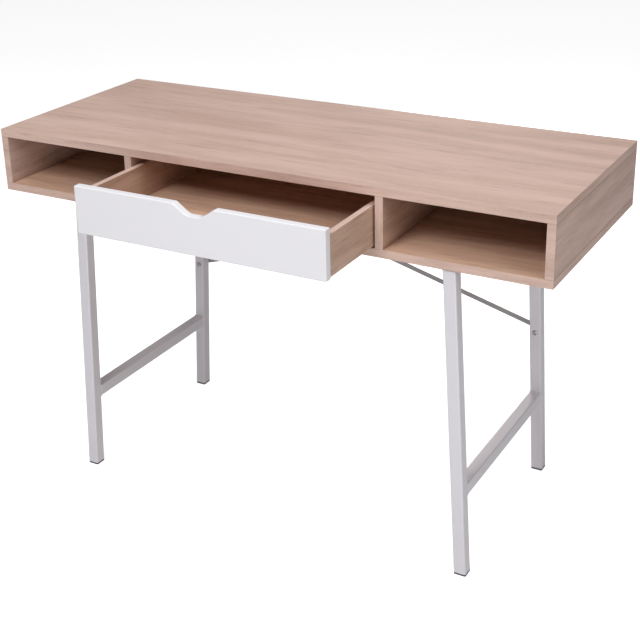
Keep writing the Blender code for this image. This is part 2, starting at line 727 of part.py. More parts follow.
def circle_points(radius, count=16):
    return [Matrix.Rotation(2 * math.pi * i / count, 2) @ Vector((radius, 0)) for i in range(count)]


def hexagon_points(flats):
    """Hexagon with a point in the middle of each side, so that it has as many points as its bore."""
    points = []
    for i in range(12):
        radius = flats / 2 if i % 2 else flats / 2 / math.cos(math.radians(30))
        points.append(Matrix.Rotation(math.radians(30 * i), 2) @ Vector((radius, 0)))
    return points


def build_brace_fittings(name, side, offset, mats):
    """Bolts through the rear legs, nuts behind the brace, and spacers where it stands off the legs."""
    face = LEG_REAR_Y + TUBE / 2
    nut_y = face + offset + BRACE_THICK + GAP
    head_y = LEG_REAR_Y - TUBE / 2 - GAP - BOLT_HEAD
    profile = [
        (BOLT_HEAD_R * HEAD_FLAT, 0.0),
        (BOLT_HEAD_R, BOLT_HEAD * HEAD_DOME),
        (BOLT_HEAD_R, BOLT_HEAD),
        (BOLT_R, BOLT_HEAD),
        (BOLT_R, nut_y + NUT_THICK + BOLT_PAST_NUT - head_y),
    ]
    for end, centre in zip(("low", "high"), brace_ends(side)):
        stem = f"{name}_{end}"
        turned(stem + "_bolt", (centre.x, head_y, centre.y), (0, 1, 0), profile, mats["zinc"], 16)
        place = (centre.x, nut_y, centre.y)
        build_washer(stem + "_nut", place, hexagon_points(NUT_ACROSS), NUT_THICK, mats["zinc"])
        if offset > GAP:
            place = (centre.x, face + GAP, centre.y)
            build_washer(stem + "_spacer", place, circle_points(SPACER_R), BRACE_THICK, mats["zinc"])


# ---- assembly ----------------------------------------------------------------------------------------
def main():
    clear_scene()
    mats = make_materials()
    build_box(mats)
    build_guides(mats)
    drawer = empty("drawer_slide", (0.0, FRONT_Y - DRAWER_OPEN, SHELF_Z + DRAWER_LIFT))
    build_drawer(mats, drawer)
    build_leg_frames(mats)
    for name, side, offset in brace_layers():
        build_brace(name, side, offset, mats)
        build_brace_fittings(name, side, offset, mats)


main()
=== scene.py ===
import logging
import math
from dataclasses import dataclass
from enum import Enum
from typing import Any, Sequence

import bpy
import numpy as np
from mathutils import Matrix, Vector


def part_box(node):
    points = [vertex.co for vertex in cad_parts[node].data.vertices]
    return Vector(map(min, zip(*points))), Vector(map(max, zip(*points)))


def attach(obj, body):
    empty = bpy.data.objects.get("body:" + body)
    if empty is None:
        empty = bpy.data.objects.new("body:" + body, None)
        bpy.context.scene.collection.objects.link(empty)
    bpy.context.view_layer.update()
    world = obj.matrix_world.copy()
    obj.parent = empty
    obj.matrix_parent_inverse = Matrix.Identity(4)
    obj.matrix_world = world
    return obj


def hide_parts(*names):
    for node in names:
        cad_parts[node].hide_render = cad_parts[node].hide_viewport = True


# Looks of a writing desk: an oak-laminate box with two open compartments and one pull-out drawer, on splayed
# white tube frames with crossed grey braces. Metres, +Z up, -Y towards the person who sits at the desk.

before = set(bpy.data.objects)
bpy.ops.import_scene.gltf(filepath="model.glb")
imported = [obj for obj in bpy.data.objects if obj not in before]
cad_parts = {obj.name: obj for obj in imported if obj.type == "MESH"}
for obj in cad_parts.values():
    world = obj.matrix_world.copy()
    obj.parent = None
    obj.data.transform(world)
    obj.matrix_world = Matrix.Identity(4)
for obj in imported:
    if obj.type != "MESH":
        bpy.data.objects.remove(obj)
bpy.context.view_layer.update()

LOG = logging.getLogger("desk")
Array = np.ndarray
Colour = tuple[float, float, float]
Place = tuple[float, float, float]
X, Y, Z = np.eye(3)
SUPPORT = 0.0002  # width of the flat strip that keeps a flat face's shading flat beside a rounded edge
SHARP = math.radians(40)  # faces that meet at more than this keep a sharp edge between them
OVERLAP = 0.0001  # how far a screw's shank starts inside its head
BAND_CORNER = 0.0006  # corner radius of an edge strip
BAND_ROUNDING = 0.48  # an edge strip's rounding, as a share of its thickness


class GrainRun(Enum):
    """The direction in which the grain runs, as the turn that brings it onto the X axis."""

    ALONG_X = (0.0, 0.0, 0.0)
    ALONG_Y = (0.0, 0.0, -math.pi / 2)
    ALONG_Z = (0.0, math.pi / 2, 0.0)


class Drive(Enum):
    """The recess in a screw's head."""

    CROSS = "cross"
    HEX = "hex"
    NONE = "none"


# ---- node trees --------------------------------------------------------------------------------------
@dataclass
class Graph:
    """Writes nodes into one shader tree."""

    tree: bpy.types.NodeTree

    def add(self, kind: str, inputs: dict[str | int, Any] | None = None, **settings: Any) -> bpy.types.Node:
        """Adds a node.

        Args:
            kind: the node's type.
            inputs: a socket to link, or a value to set, for each input named or numbered.
            settings: the node's own properties.

        Returns:
            The new node.
        """
        node = self.tree.nodes.new(kind)
        for key, value in settings.items():
            setattr(node, key, value)
        for key, value in (inputs or {}).items():
            if isinstance(value, bpy.types.NodeSocket):
                self.tree.links.new(value, node.inputs[key])
            else:
                node.inputs[key].default_value = value
        return node

    def math(self, operation: str, a: Any, b: Any = 0.0) -> bpy.types.NodeSocket:
        """Returns the result of one sum on two numbers."""
        return self.add("ShaderNodeMath", {0: a, 1: b}, operation=operation).outputs[0]

    def stretch(self, vector: Any, by: Sequence[float]) -> bpy.types.NodeSocket:
        """Returns vector with each axis multiplied by its own factor."""
        return self.add("ShaderNodeVectorMath", {0: vector, 1: tuple(by)}, operation="MULTIPLY").outputs[0]

    def noise(
        self, vector: Any, scale: float, detail: float = 2.0, roughness: float = 0.5
    ) -> bpy.types.NodeSocket:
        """Returns smooth noise from 0 to 1 at the vector."""
        values = {"Vector": vector, "Scale": scale, "Detail": detail, "Roughness": roughness}
        return self.add("ShaderNodeTexNoise", values).outputs[0]

    def window(self, value: Any, low: float, high: float, to_low: float = 0.0, to_high: float = 1.0) -> Any:
        """Returns value eased from to_low at low to to_high at high."""
        values = {"Value": value, "From Min": low, "From Max": high, "To Min": to_low, "To Max": to_high}
        return self.add("ShaderNodeMapRange", values, interpolation_type="SMOOTHSTEP").outputs[0]

    def mix(self, share: Any, first: Any, second: Any, blend: str = "MIX") -> bpy.types.NodeSocket:
        """Mixes two colours.

        Args:
            share: how much of the second colour shows, from 0 to 1.
            first: the first colour.
            second: the second colour.
            blend: how the second lies over the first.

        Returns:
            The socket that holds the mixed colour.
        """
        node = self.add("ShaderNodeMix", data_type="RGBA", blend_type=blend)
        for socket, value in ((node.inputs[0], share), (node.inputs[6], first), (node.inputs[7], second)):
            if isinstance(value, bpy.types.NodeSocket):
                self.tree.links.new(value, socket)
            else:
                socket.default_value = value
        return node.outputs[2]


def new_group(name: str, inputs: dict[str, str], outputs: dict[str, str]) -> tuple[Graph, Any, Any]:
    """Starts a shader node group.

    Args:
        name: the group's name.
        inputs: the socket type of each named input.
        outputs: the socket type of each named output.

    Returns:
        Its graph, its input node's sockets and its output node.
    """
    tree = bpy.data.node_groups.new(name, "ShaderNodeTree")
    for label, kind in inputs.items():
        tree.interface.new_socket(label, in_out="INPUT", socket_type=kind)
    for label, kind in outputs.items():
        tree.interface.new_socket(label, in_out="OUTPUT", socket_type=kind)
    graph = Graph(tree)
    return graph, graph.add("NodeGroupInput").outputs, graph.add("NodeGroupOutput")


VECTOR, COLOUR, NUMBER = "NodeSocketVector", "NodeSocketColor", "NodeSocketFloat"
SKIN_OUTPUTS = {"Color": COLOUR, "Roughness": NUMBER, "Height": NUMBER}


def oak_print_group() -> bpy.types.NodeTree:
    """Builds the printed oak figure of the laminate; its Vector runs along the grain on X.

    Long streaks wander a little across the grain, rings of a flat-sawn log show through them, fibres and
    short dark pores lie along the grain, and faint saw marks cross it in patches. Each stretch says how many
    features there are in a metre along the grain and then across it.

    Returns:
        The group, with colour, roughness and pore height.
    """
    inputs = {"Vector": VECTOR, "Light": COLOUR, "Dark": COLOUR, "Pore": COLOUR, "Contrast": NUMBER}
    graph, given, out = new_group("oak_print", inputs, SKIN_OUTPUTS)
    place = given["Vector"]
    wander = graph.math("SUBTRACT", graph.noise(graph.stretch(place, (1.4, 4.0, 4.0)), 1.0, 2.0), 0.5)
    shift = graph.add("ShaderNodeCombineXYZ", {1: graph.math("MULTIPLY", wander, 0.07)}).outputs[0]
    bent = graph.add("ShaderNodeVectorMath", {0: place, 1: shift}, operation="ADD").outputs[0]
    broad = graph.noise(graph.stretch(bent, (2.6, 24.0, 24.0)), 1.0, 4.0, 0.6)
    log = graph.stretch(bent, (0.05, 1.0, 1.0))
    from_heart = graph.add("ShaderNodeVectorMath", {0: log, 1: (0.0, 0.0, 0.06)}, operation="ADD").outputs[0]
    radius = graph.add("ShaderNodeVectorMath", {0: from_heart}, operation="LENGTH").outputs["Value"]
    rings = graph.math("SINE", graph.math("MULTIPLY_ADD", radius, 320.0), 0.0)
    fibre = graph.noise(graph.stretch(bent, (9.0, 210.0, 210.0)), 1.0, 3.0, 0.65)
    fine = graph.noise(graph.stretch(place, (14.0, 620.0, 620.0)), 1.0, 2.0)
    figure = graph.math("MULTIPLY_ADD", rings, 0.035)
    graph.tree.links.new(broad, figure.node.inputs[2])
    tone = graph.math("ADD", graph.math("MULTIPLY", figure, 0.58), graph.math("MULTIPLY", fibre, 0.27))
    tone = graph.math("ADD", tone, graph.math("MULTIPLY", fine, 0.15))
    tone = graph.math("MULTIPLY", graph.window(tone, 0.36, 0.64), given["Contrast"])
    colour = graph.mix(tone, given["Light"], given["Dark"])
    short = graph.noise(graph.stretch(place, (55.0, 1300.0, 1300.0)), 1.0, 1.0)
    pores = graph.math("MULTIPLY", graph.window(short, 0.60, 0.70), graph.window(broad, 0.42, 0.60))
    colour = graph.mix(graph.math("MULTIPLY", pores, 0.55), colour, given["Pore"])
    streak = graph.noise(graph.stretch(bent, (8.0, 95.0, 95.0)), 1.0, 3.0, 0.65)
    streak = graph.math("MULTIPLY", graph.window(streak, 0.56, 0.72), 0.50)
    colour = graph.mix(graph.math("MULTIPLY", streak, given["Contrast"]), colour, given["Pore"])
    saw = graph.noise(graph.stretch(place, (420.0, 9.0, 9.0)), 1.0, 1.0)
    patch = graph.window(graph.noise(graph.stretch(place, (5.0, 11.0, 11.0)), 1.0, 1.0), 0.50, 0.66)
    saw = graph.math("MULTIPLY", graph.math("SUBTRACT", saw, 0.5), graph.math("MULTIPLY", patch, 0.55))
    colour = graph.mix(graph.window(saw, 0.02, 0.22, 0.0, 0.5), colour, given["Light"])
    graph.tree.links.new(colour, out.inputs["Color"])
    rough = graph.math("ADD", graph.math("MULTIPLY", pores, 0.16), graph.math("MULTIPLY", fibre, 0.12))
    graph.tree.links.new(graph.math("ADD", rough, 0.38), out.inputs["Roughness"])
    relief = graph.math("SUBTRACT", graph.math("MULTIPLY", fine, 0.45), pores)
    graph.tree.links.new(graph.math("ADD", relief, saw), out.inputs["Height"])
    return graph.tree


def coat_skin_group() -> bpy.types.NodeTree:
    """Builds the skin of a sprayed or baked coat.

    A slow orange peel carries a finer one, the tone is a little cloudy, and there are a few small nibs.

    Returns:
        The group, with colour, roughness and surface height.
    """
    inputs = {"Vector": VECTOR, "Tint": COLOUR, "Shade": COLOUR, "Peel": NUMBER, "Roughness": NUMBER}
    graph, given, out = new_group("coat_skin", inputs, SKIN_OUTPUTS)
    place = given["Vector"]
    slow = graph.noise(place, 260.0, 1.0)
    quick = graph.noise(place, 1100.0, 1.0)
    cloud = graph.noise(place, 7.0, 3.0, 0.6)
    nibs = graph.window(graph.noise(place, 420.0, 0.0), 0.80, 0.86)
    colour = graph.mix(graph.window(cloud, 0.35, 0.70, 0.0, 0.5), given["Tint"], given["Shade"])
    colour = graph.mix(graph.math("MULTIPLY", nibs, 0.4), colour, given["Shade"])
    graph.tree.links.new(colour, out.inputs["Color"])
    uneven = graph.math("MULTIPLY", graph.math("SUBTRACT", cloud, 0.5), 0.14)
    graph.tree.links.new(graph.math("ADD", given["Roughness"], uneven), out.inputs["Roughness"])
    relief = graph.math("ADD", graph.math("MULTIPLY", slow, 0.7), graph.math("MULTIPLY", quick, 0.3))
    relief = graph.math("MULTIPLY", relief, given["Peel"])
    graph.tree.links.new(graph.math("ADD", relief, graph.math("MULTIPLY", nibs, 0.6)), out.inputs["Height"])
    return graph.tree


def plated_skin_group() -> bpy.types.NodeTree:
    """Builds the skin of zinc plate: small spangles, drawn lines and dull handling patches.

    Returns:
        The group, with colour, roughness and surface height.
    """
    inputs = {"Vector": VECTOR, "Bright": COLOUR, "Dull": COLOUR, "Roughness": NUMBER}
    graph, given, out = new_group("plated_skin", inputs, SKIN_OUTPUTS)
    place = given["Vector"]
    cells = graph.add("ShaderNodeTexVoronoi", {"Vector": place, "Scale": 900.0}).outputs["Distance"]
    patches = graph.noise(place, 160.0, 3.0, 0.6)
    lines = graph.noise(graph.stretch(place, (400.0, 400.0, 5200.0)), 1.0, 1.0)
    share = graph.math("ADD", graph.window(patches, 0.35, 0.68), graph.math("MULTIPLY", cells, 0.4))
    graph.tree.links.new(graph.mix(share, given["Bright"], given["Dull"]), out.inputs["Color"])
    rough = graph.math("MULTIPLY", graph.math("ADD", patches, lines), 0.14)
    graph.tree.links.new(graph.math("ADD", given["Roughness"], rough), out.inputs["Roughness"])
    graph.tree.links.new(graph.math("ADD", cells, graph.math("MULTIPLY", lines, 0.5)), out.inputs["Height"])
    return graph.tree


def moulded_skin_group() -> bpy.types.NodeTree:
    """Builds the skin of moulded plastic: a fine eroded grain, with flow clouds and scuffed high spots.

    Returns:
        The group, with colour, roughness and surface height.
    """
    inputs = {"Vector": VECTOR, "Tint": COLOUR, "Scuff": COLOUR, "Roughness": NUMBER}
    graph, given, out = new_group("moulded_skin", inputs, SKIN_OUTPUTS)
    place = given["Vector"]
    grain = graph.noise(place, 2400.0, 2.0, 0.7)
    flow = graph.noise(graph.stretch(place, (30.0, 30.0, 90.0)), 1.0, 2.0)
    scuff = graph.math("MULTIPLY", graph.window(graph.noise(place, 300.0, 3.0), 0.58, 0.72), 0.35)
    colour = graph.mix(scuff, given["Tint"], given["Scuff"])
    graph.tree.links.new(colour, out.inputs["Color"])
    rough = graph.math("ADD", graph.math("MULTIPLY", flow, 0.16), graph.math("MULTIPLY", grain, 0.08))
    graph.tree.links.new(graph.math("ADD", given["Roughness"], rough), out.inputs["Roughness"])
    graph.tree.links.new(grain, out.inputs["Height"])
    return graph.tree


GROUP_BUILDERS = {
    "oak_print": oak_print_group,
    "coat_skin": coat_skin_group,
    "plated_skin": plated_skin_group,
    "moulded_skin": moulded_skin_group,
}


def group_tree(name: str) -> bpy.types.NodeTree:
    """Returns the node group of that name, built the first time that it is asked for."""
    return bpy.data.node_groups.get(name) or GROUP_BUILDERS[name]()


# ---- finishes ----------------------------------------------------------------------------------------
def rgba(colour: Colour) -> tuple[float, float, float, float]:
    """Returns a colour as the four numbers that a socket takes."""
    return (*colour, 1.0)


@dataclass(frozen=True)
class Finish:
    """What a surface is made of: a skin group with its values, and the shader's own constants."""

    name: str
    group: str
    values: tuple[tuple[str, Any], ...]
    bump: float
    specular: float = 0.5
    metallic: float = 0.0
    coat: float = 0.0
    coat_roughness: float = 0.2
    run: GrainRun = GrainRun.ALONG_X
    offset: Place = (0.0, 0.0, 0.0)

    def material(self) -> bpy.types.Material:
        """Builds the material once.

        Returns:
            The material, which reads Object coordinates turned so that the grain lies on X.
        """
        made = bpy.data.materials.get(self.name)
        if made:
            return made
        made = bpy.data.materials.new(self.name)
        made.use_nodes = True
        graph = Graph(made.node_tree)
        shader = made.node_tree.nodes["Principled BSDF"]
        where = graph.add("ShaderNodeTexCoord").outputs["Object"]
        turned = graph.add("ShaderNodeMapping", {"Vector": where, "Rotation": self.run.value})
        moved = graph.add("ShaderNodeVectorMath", {0: turned.outputs[0], 1: self.offset}, operation="ADD")
        skin = graph.add("ShaderNodeGroup", node_tree=group_tree(self.group))
        graph.tree.links.new(moved.outputs[0], skin.inputs["Vector"])
        for label, value in self.values:
            skin.inputs[label].default_value = value
        height = skin.outputs["Height"]
        bump = graph.add("ShaderNodeBump", {"Height": height, "Strength": 1.0, "Distance": self.bump})
        graph.tree.links.new(skin.outputs["Color"], shader.inputs["Base Color"])
        graph.tree.links.new(skin.outputs["Roughness"], shader.inputs["Roughness"])
        graph.tree.links.new(bump.outputs[0], shader.inputs["Normal"])
        shader.inputs["Specular IOR Level"].default_value = self.specular
        shader.inputs["Metallic"].default_value = self.metallic
        shader.inputs["Coat Weight"].default_value = self.coat
        shader.inputs["Coat Roughness"].default_value = self.coat_roughness
        return made


@dataclass(frozen=True)
class OakTone:
    """The three printed colours of an oak laminate."""

    light: Colour
    dark: Colour
    pore: Colour

    def values(self, contrast: float) -> tuple[tuple[str, Any], ...]:
        """Returns what the oak_print group takes, with how strongly the figure shows."""
        tones = (("Light", self.light), ("Dark", self.dark), ("Pore", self.pore))
        return (*((label, rgba(tone)) for label, tone in tones), ("Contrast", contrast))


OUTER_OAK = OakTone((0.640, 0.458, 0.392), (0.500, 0.342, 0.282), (0.350, 0.222, 0.178))
INNER_OAK = OakTone((0.600, 0.410, 0.315), (0.440, 0.282, 0.205), (0.300, 0.180, 0.125))
FLOOR_OAK = OakTone((0.680, 0.455, 0.335), (0.520, 0.325, 0.228), (0.340, 0.200, 0.135))
# The edge strips' light tone is a touch paler than the outer boards': partly the strips' own print, partly a
# painted highlight on the front and top edges that face the lamps.
EDGE_OAK_WITH_PAINTED_HIGHLIGHT = OakTone((0.660, 0.478, 0.408), (0.500, 0.342, 0.282), (0.350, 0.222, 0.178))
BEECH_WOOD = OakTone((0.66, 0.49, 0.32), (0.54, 0.38, 0.23), (0.40, 0.26, 0.15))

CUT_STEP = (1.37, 0.61, 0.23)  # how far one board's stretch of the figure lies from the next board's
PORE_DEPTH = 0.00006
BEECH_DEPTH = 0.00005
PEEL_HEIGHT = 0.00010
SPANGLE_HEIGHT = 0.00003
MOULD_GRAIN_HEIGHT = 0.00003


def oak(name: str, run: GrainRun, cut: int, contrast: float = 1.0, tone: OakTone = OUTER_OAK) -> Finish:
    """The oak laminate of one board.

    Args:
        name: the board's name.
        run: the direction of its grain.
        cut: which stretch of the printed figure it shows.
        contrast: how strongly the figure shows.
        tone: its three colours.

    Returns:
        The finish.
    """
    along, over, up = CUT_STEP
    offset = (along * cut, over * cut, up * cut)
    values = tone.values(contrast)
    return Finish("oak_" + name, "oak_print", values, PORE_DEPTH, specular=0.35, run=run, offset=offset)


def coated(
    name: str, tint: Colour, shade: Colour, peel: float, roughness: float, coat: float = 0.0
) -> Finish:
    """A painted, powder-coated or foiled finish.

    Args:
        name: the finish's name.
        tint: its main colour.
        shade: its darker cloud colour.
        peel: how strong its orange peel is.
        roughness: how matt it is.
        coat: how much clear gloss lies over it.

    Returns:
        The finish.
    """
    values = (("Tint", rgba(tint)), ("Shade", rgba(shade)), ("Peel", peel), ("Roughness", roughness))
    return Finish(name, "coat_skin", values, PEEL_HEIGHT, specular=0.5, coat=coat)


def plated(name: str, bright: Colour, dull: Colour, roughness: float) -> Finish:
    """Returns a zinc-plated finish between a bright and a dull colour."""
    values = (("Bright", rgba(bright)), ("Dull", rgba(dull)), ("Roughness", roughness))
    return Finish(name, "plated_skin", values, SPANGLE_HEIGHT, metallic=1.0)


def moulded(name: str, tint: Colour, scuff: Colour, roughness: float) -> Finish:
    """Returns a moulded plastic finish with paler or darker scuffs."""
    values = (("Tint", rgba(tint)), ("Scuff", rgba(scuff)), ("Roughness", roughness))
    return Finish(name, "moulded_skin", values, MOULD_GRAIN_HEIGHT, specular=0.45)


FRONT_WHITE = coated("front_white", (0.755, 0.738, 0.79), (0.725, 0.708, 0.758), 0.35, 0.38, coat=0.05)
FRAME_WHITE = coated("frame_white", (0.745, 0.675, 0.765), (0.70, 0.634, 0.72), 1.0, 0.42)
BRACE_GREY = coated("brace_grey", (0.33, 0.325, 0.33), (0.27, 0.265, 0.27), 1.0, 0.46)
ZINC = plated("zinc_plate", (0.62, 0.62, 0.63), (0.38, 0.38, 0.39), 0.24)
DARK_BOLT = plated("bolt_plate", (0.72, 0.71, 0.73), (0.46, 0.46, 0.48), 0.36)
CAP_PLASTIC = moulded("cap_plastic", (0.075, 0.075, 0.080), (0.14, 0.14, 0.145), 0.48)
NYLON = moulded("nylon", (0.70, 0.695, 0.675), (0.62, 0.61, 0.59), 0.40)
BEECH = Finish("beech", "oak_print", BEECH_WOOD.values(0.7), BEECH_DEPTH)


# ---- shapes as arrays --------------------------------------------------------------------------------
def unit(vectors: Array) -> Array:
    """Returns each vector at length one."""
    return vectors / np.linalg.norm(vectors, axis=-1, keepdims=True)


def rounded_outline(corners: Array, radii: Array | float, steps: int = 6) -> tuple[Array, Array]:
    """Rounds a polygon's corners.

    Each corner gives way to the arc that touches both of its sides: its centre lies on the bisector at the
    radius divided by the sine of the half angle, and its directions turn evenly from one side's normal to
    the other's. A point just before and just after each arc keeps the straight sides' shading flat.

    Args:
        corners: counterclockwise corner points, one row each.
        radii: one radius for all corners, or one for each.
        steps: how many parts each arc has.

    Returns:
        The outline's points and their outward normals.
    """
    radii = np.broadcast_to(np.asarray(radii, float), len(corners))[:, None]
    back = unit(np.roll(corners, 1, axis=0) - corners)
    ahead = unit(np.roll(corners, -1, axis=0) - corners)
    half = np.arccos(np.clip((back * ahead).sum(1), -1.0, 1.0))[:, None] / 2
    centre = corners + unit(back + ahead) * radii / np.sin(half)
    first = unit(corners + back * radii / np.tan(half) - centre)
    last = unit(corners + ahead * radii / np.tan(half) - centre)
    sweep = np.pi - 2 * half[:, :, None]
    share = np.linspace(0.0, 1.0, steps + 1)[None, :, None]
    turn = np.sin((1 - share) * sweep) * first[:, None] + np.sin(share * sweep) * last[:, None]
    turn /= np.sin(sweep)
    arcs = centre[:, None] + turn * radii[:, :, None]
    before = arcs[:, :1] + back[:, None] * SUPPORT
    after = arcs[:, -1:] + ahead[:, None] * SUPPORT
    arcs = np.concatenate([before, arcs, after], axis=1)
    turn = np.concatenate([turn[:, :1], turn, turn[:, -1:]], axis=1)
    crossing = back[:, 0] * ahead[:, 1] - back[:, 1] * ahead[:, 0]
    normals = turn * -np.sign(crossing)[:, None, None]
    return arcs.reshape(-1, 2), normals.reshape(-1, 2)


def rectangle(width: float, height: float, radius: float, steps: int = 6) -> tuple[Array, Array]:
    """Returns the outline of a rectangle round the origin with rounded corners, and its normals."""
    signs = np.array([(-1, -1), (1, -1), (1, 1), (-1, 1)], float)
    return rounded_outline(signs * (width / 2, height / 2), radius, steps)


def circle(radius: float, count: int = 32) -> tuple[Array, Array]:
    """A circle round the origin: each point is its unit normal times the radius.

    Args:
        radius: the circle's radius.
        count: how many evenly spaced points it has.

    Returns:
        The points and their outward normals.
    """
    angle = 2 * np.pi * np.arange(count) / count
    normals = np.stack([np.cos(angle), np.sin(angle)], axis=1)
    return normals * radius, normals


def carried(outline: tuple[Array, Array], profile: Array) -> Array:
    """Carries a profile round an outline.

    Each profile row is (inset, height): the outline moved inwards by the inset along its normals, at that
    height.

    Args:
        outline: the points and normals to go round.
        profile: the rows, in order.

    Returns:
        Rings of points, shaped (rows, points, 3).
    """
    points, normals = outline
    flat = points[None] - normals[None] * profile[:, :1, None]
    height = np.broadcast_to(profile[:, 1, None, None], (*flat.shape[:2], 1))
    return np.concatenate([flat, height], axis=2)


def slab_profile(thickness: float, radius: float, steps: int = 5) -> Array:
    """The profile of a slab whose rim is rounded on both faces.

    It is a straight side with a quarter circle at each end.

    Args:
        thickness: the slab's thickness.
        radius: the rounding's radius.
        steps: how many parts each quarter has.

    Returns:
        Rows of (inset, height).
    """
    angle = np.linspace(0.0, np.pi / 2, steps + 1)
    quarter = np.stack([radius * (1 - np.sin(angle)), radius * (1 - np.cos(angle))], axis=1)
    low = np.vstack([[radius + SUPPORT, 0.0], quarter, [0.0, radius + SUPPORT / 2]])
    high = low[::-1] * (1.0, -1.0) + (0.0, thickness)
    return np.vstack([low, high])


def placed(rings: Array, origin: Sequence[float], u: Array, v: Array, w: Array) -> Array:
    """Returns points given along u, v and w from the origin as points of the row frame."""
    return np.asarray(origin, float) + rings @ np.stack([u, v, w])


def across(axis: Array) -> tuple[Array, Array]:
    """Finds two directions square to an axis, as cross products with a direction that isn't near it.

    Args:
        axis: a unit vector.

    Returns:
        Two unit vectors that make a right-handed set with the axis.
    """
    helper = Y if abs(axis[1]) < 0.9 else X
    first = unit(np.cross(helper, axis))
    return first, np.cross(axis, first)


ROWS_IN_TURN = 6  # rings of points in one turn of a thread


def thread_rings(radius: float, pitch: float, length: float, depth: float, sides: int = 20) -> Array:
    """A screw thread along the third axis.

    The radius falls by the depth times a triangle wave of the height divided by the pitch less the turn
    round the axis; the last pitch fades to the root, so that the end is chamfered.

    Args:
        radius: the crest's radius.
        pitch: height gained in a turn.
        length: the thread's length.
        depth: crest to root.
        sides: points round the axis.

    Returns:
        Rings of points, shaped (rows, points, 3).
    """
    height = np.linspace(0.0, length, int(ROWS_IN_TURN * length / pitch) + 1)[:, None]
    angle = 2 * np.pi * np.arange(sides)[None] / sides
    phase = np.mod(height / pitch - angle / (2 * np.pi), 1.0)
    fade = np.clip((length - height) / pitch, 0.0, 1.0)
    size = radius - depth * (1 - fade * (1 - np.abs(2 * phase - 1)))
    return np.stack([size * np.cos(angle), size * np.sin(angle), height + 0 * angle], axis=2)


# A screw head's driven face, in shares of the head's radius.
HEAD_RIM = (0.985, 0.95)
HEAD_FACE = (0.90, 0.015)
HEX_HALF = 0.46
CROSS_HALF = 0.11
CROSS_REACH = 0.62
CROSS_HEART = 0.20
RECESS_WALL = 0.05
HEAD_SIDE = 0.9  # how far up to the rim a head's side stands straight


def head_rings(
    radius: float, height: float, dome: float, drive: Drive, recess: float, sides: int = 48
) -> Array:
    """A screw head seen from its driven face, which points along the third axis.

    Its height is a dome that falls with the square of the distance from the middle, less a recess: inside a
    hexagon for a socket, or near either of two crossed lines for a cross.

    Args:
        radius: the head's radius.
        height: from its seat to the middle of its dome.
        dome: how much lower the rim is than the middle.
        drive: the recess's kind.
        recess: its depth.
        sides: points round the axis.

    Returns:
        Rings of points from the seat round the rim to the middle, shaped (rows, points, 3).
    """
    share = np.concatenate([HEAD_RIM, np.linspace(*HEAD_FACE, 26)])[:, None]
    angle = 2 * np.pi * np.arange(sides)[None] / sides
    x, y = share * np.cos(angle), share * np.sin(angle)
    if drive is Drive.HEX:
        wedge = np.mod(angle, np.pi / 3) - np.pi / 6
        inside = HEX_HALF - share * np.cos(wedge)
    elif drive is Drive.CROSS:
        first_arm = np.minimum(CROSS_HALF - np.abs(x), CROSS_REACH - np.abs(y))
        second_arm = np.minimum(CROSS_HALF - np.abs(y), CROSS_REACH - np.abs(x))
        heart = CROSS_HEART - np.abs(x) - np.abs(y)
        inside = np.maximum(np.maximum(first_arm, second_arm), heart)
    else:
        inside = np.full_like(x, -1.0)
    cut = recess * np.clip(inside / RECESS_WALL + 0.5, 0.0, 1.0)
    top = np.stack([x * radius, y * radius, height - dome * share**2 - cut], axis=2)
    ring = np.stack([np.cos(angle[0]), np.sin(angle[0])], axis=1) * radius
    side = (height - dome) * HEAD_SIDE
    rows = ((0.5, 0.0), (1.0, 0.0), (1.0, side))
    rim = [np.column_stack([ring * out, np.full(sides, up)]) for out, up in rows]
    return np.concatenate([np.array(rim), top])


def ring_faces(rows: int, count: int, looped: bool, first: int) -> list[tuple[int, ...]]:
    """The faces that join rings of points.

    Args:
        rows: how many rings there are.
        count: how many points each has.
        looped: whether the last ring joins the first, rather than both ends being closed by a flat face.
        first: the index of the first point.

    Returns:
        The faces as tuples of point indices.
    """
    index = first + np.arange(rows * count).reshape(rows, count)
    upper = np.roll(index, -1, axis=0) if looped else index[1:]
    lower = index if looped else index[:-1]
    quads = np.stack([lower, np.roll(lower, -1, 1), np.roll(upper, -1, 1), upper], axis=2)
    faces = [tuple(quad) for quad in quads.reshape(-1, 4).tolist()]
    if not looped:
        faces += [tuple(index[0, ::-1].tolist()), tuple(index[-1].tolist())]
    return faces


def signed_volume(points: Array, faces: list[tuple[int, ...]]) -> float:
    """The volume inside a closed shell: the sum of the tetrahedra from the origin to each face's triangles.

    Args:
        points: the shell's points.
        faces: its faces, as tuples of point indices.

    Returns:
        The volume, negative where the faces point inwards.
    """
    total = 0.0
    for size in set(map(len, faces)):
        ring = points[np.array([face for face in faces if len(face) == size])]
        fan = np.cross(ring[:, 1:-1], ring[:, 2:])
        total += float((ring[:, :1] * fan).sum()) / 6
    return total


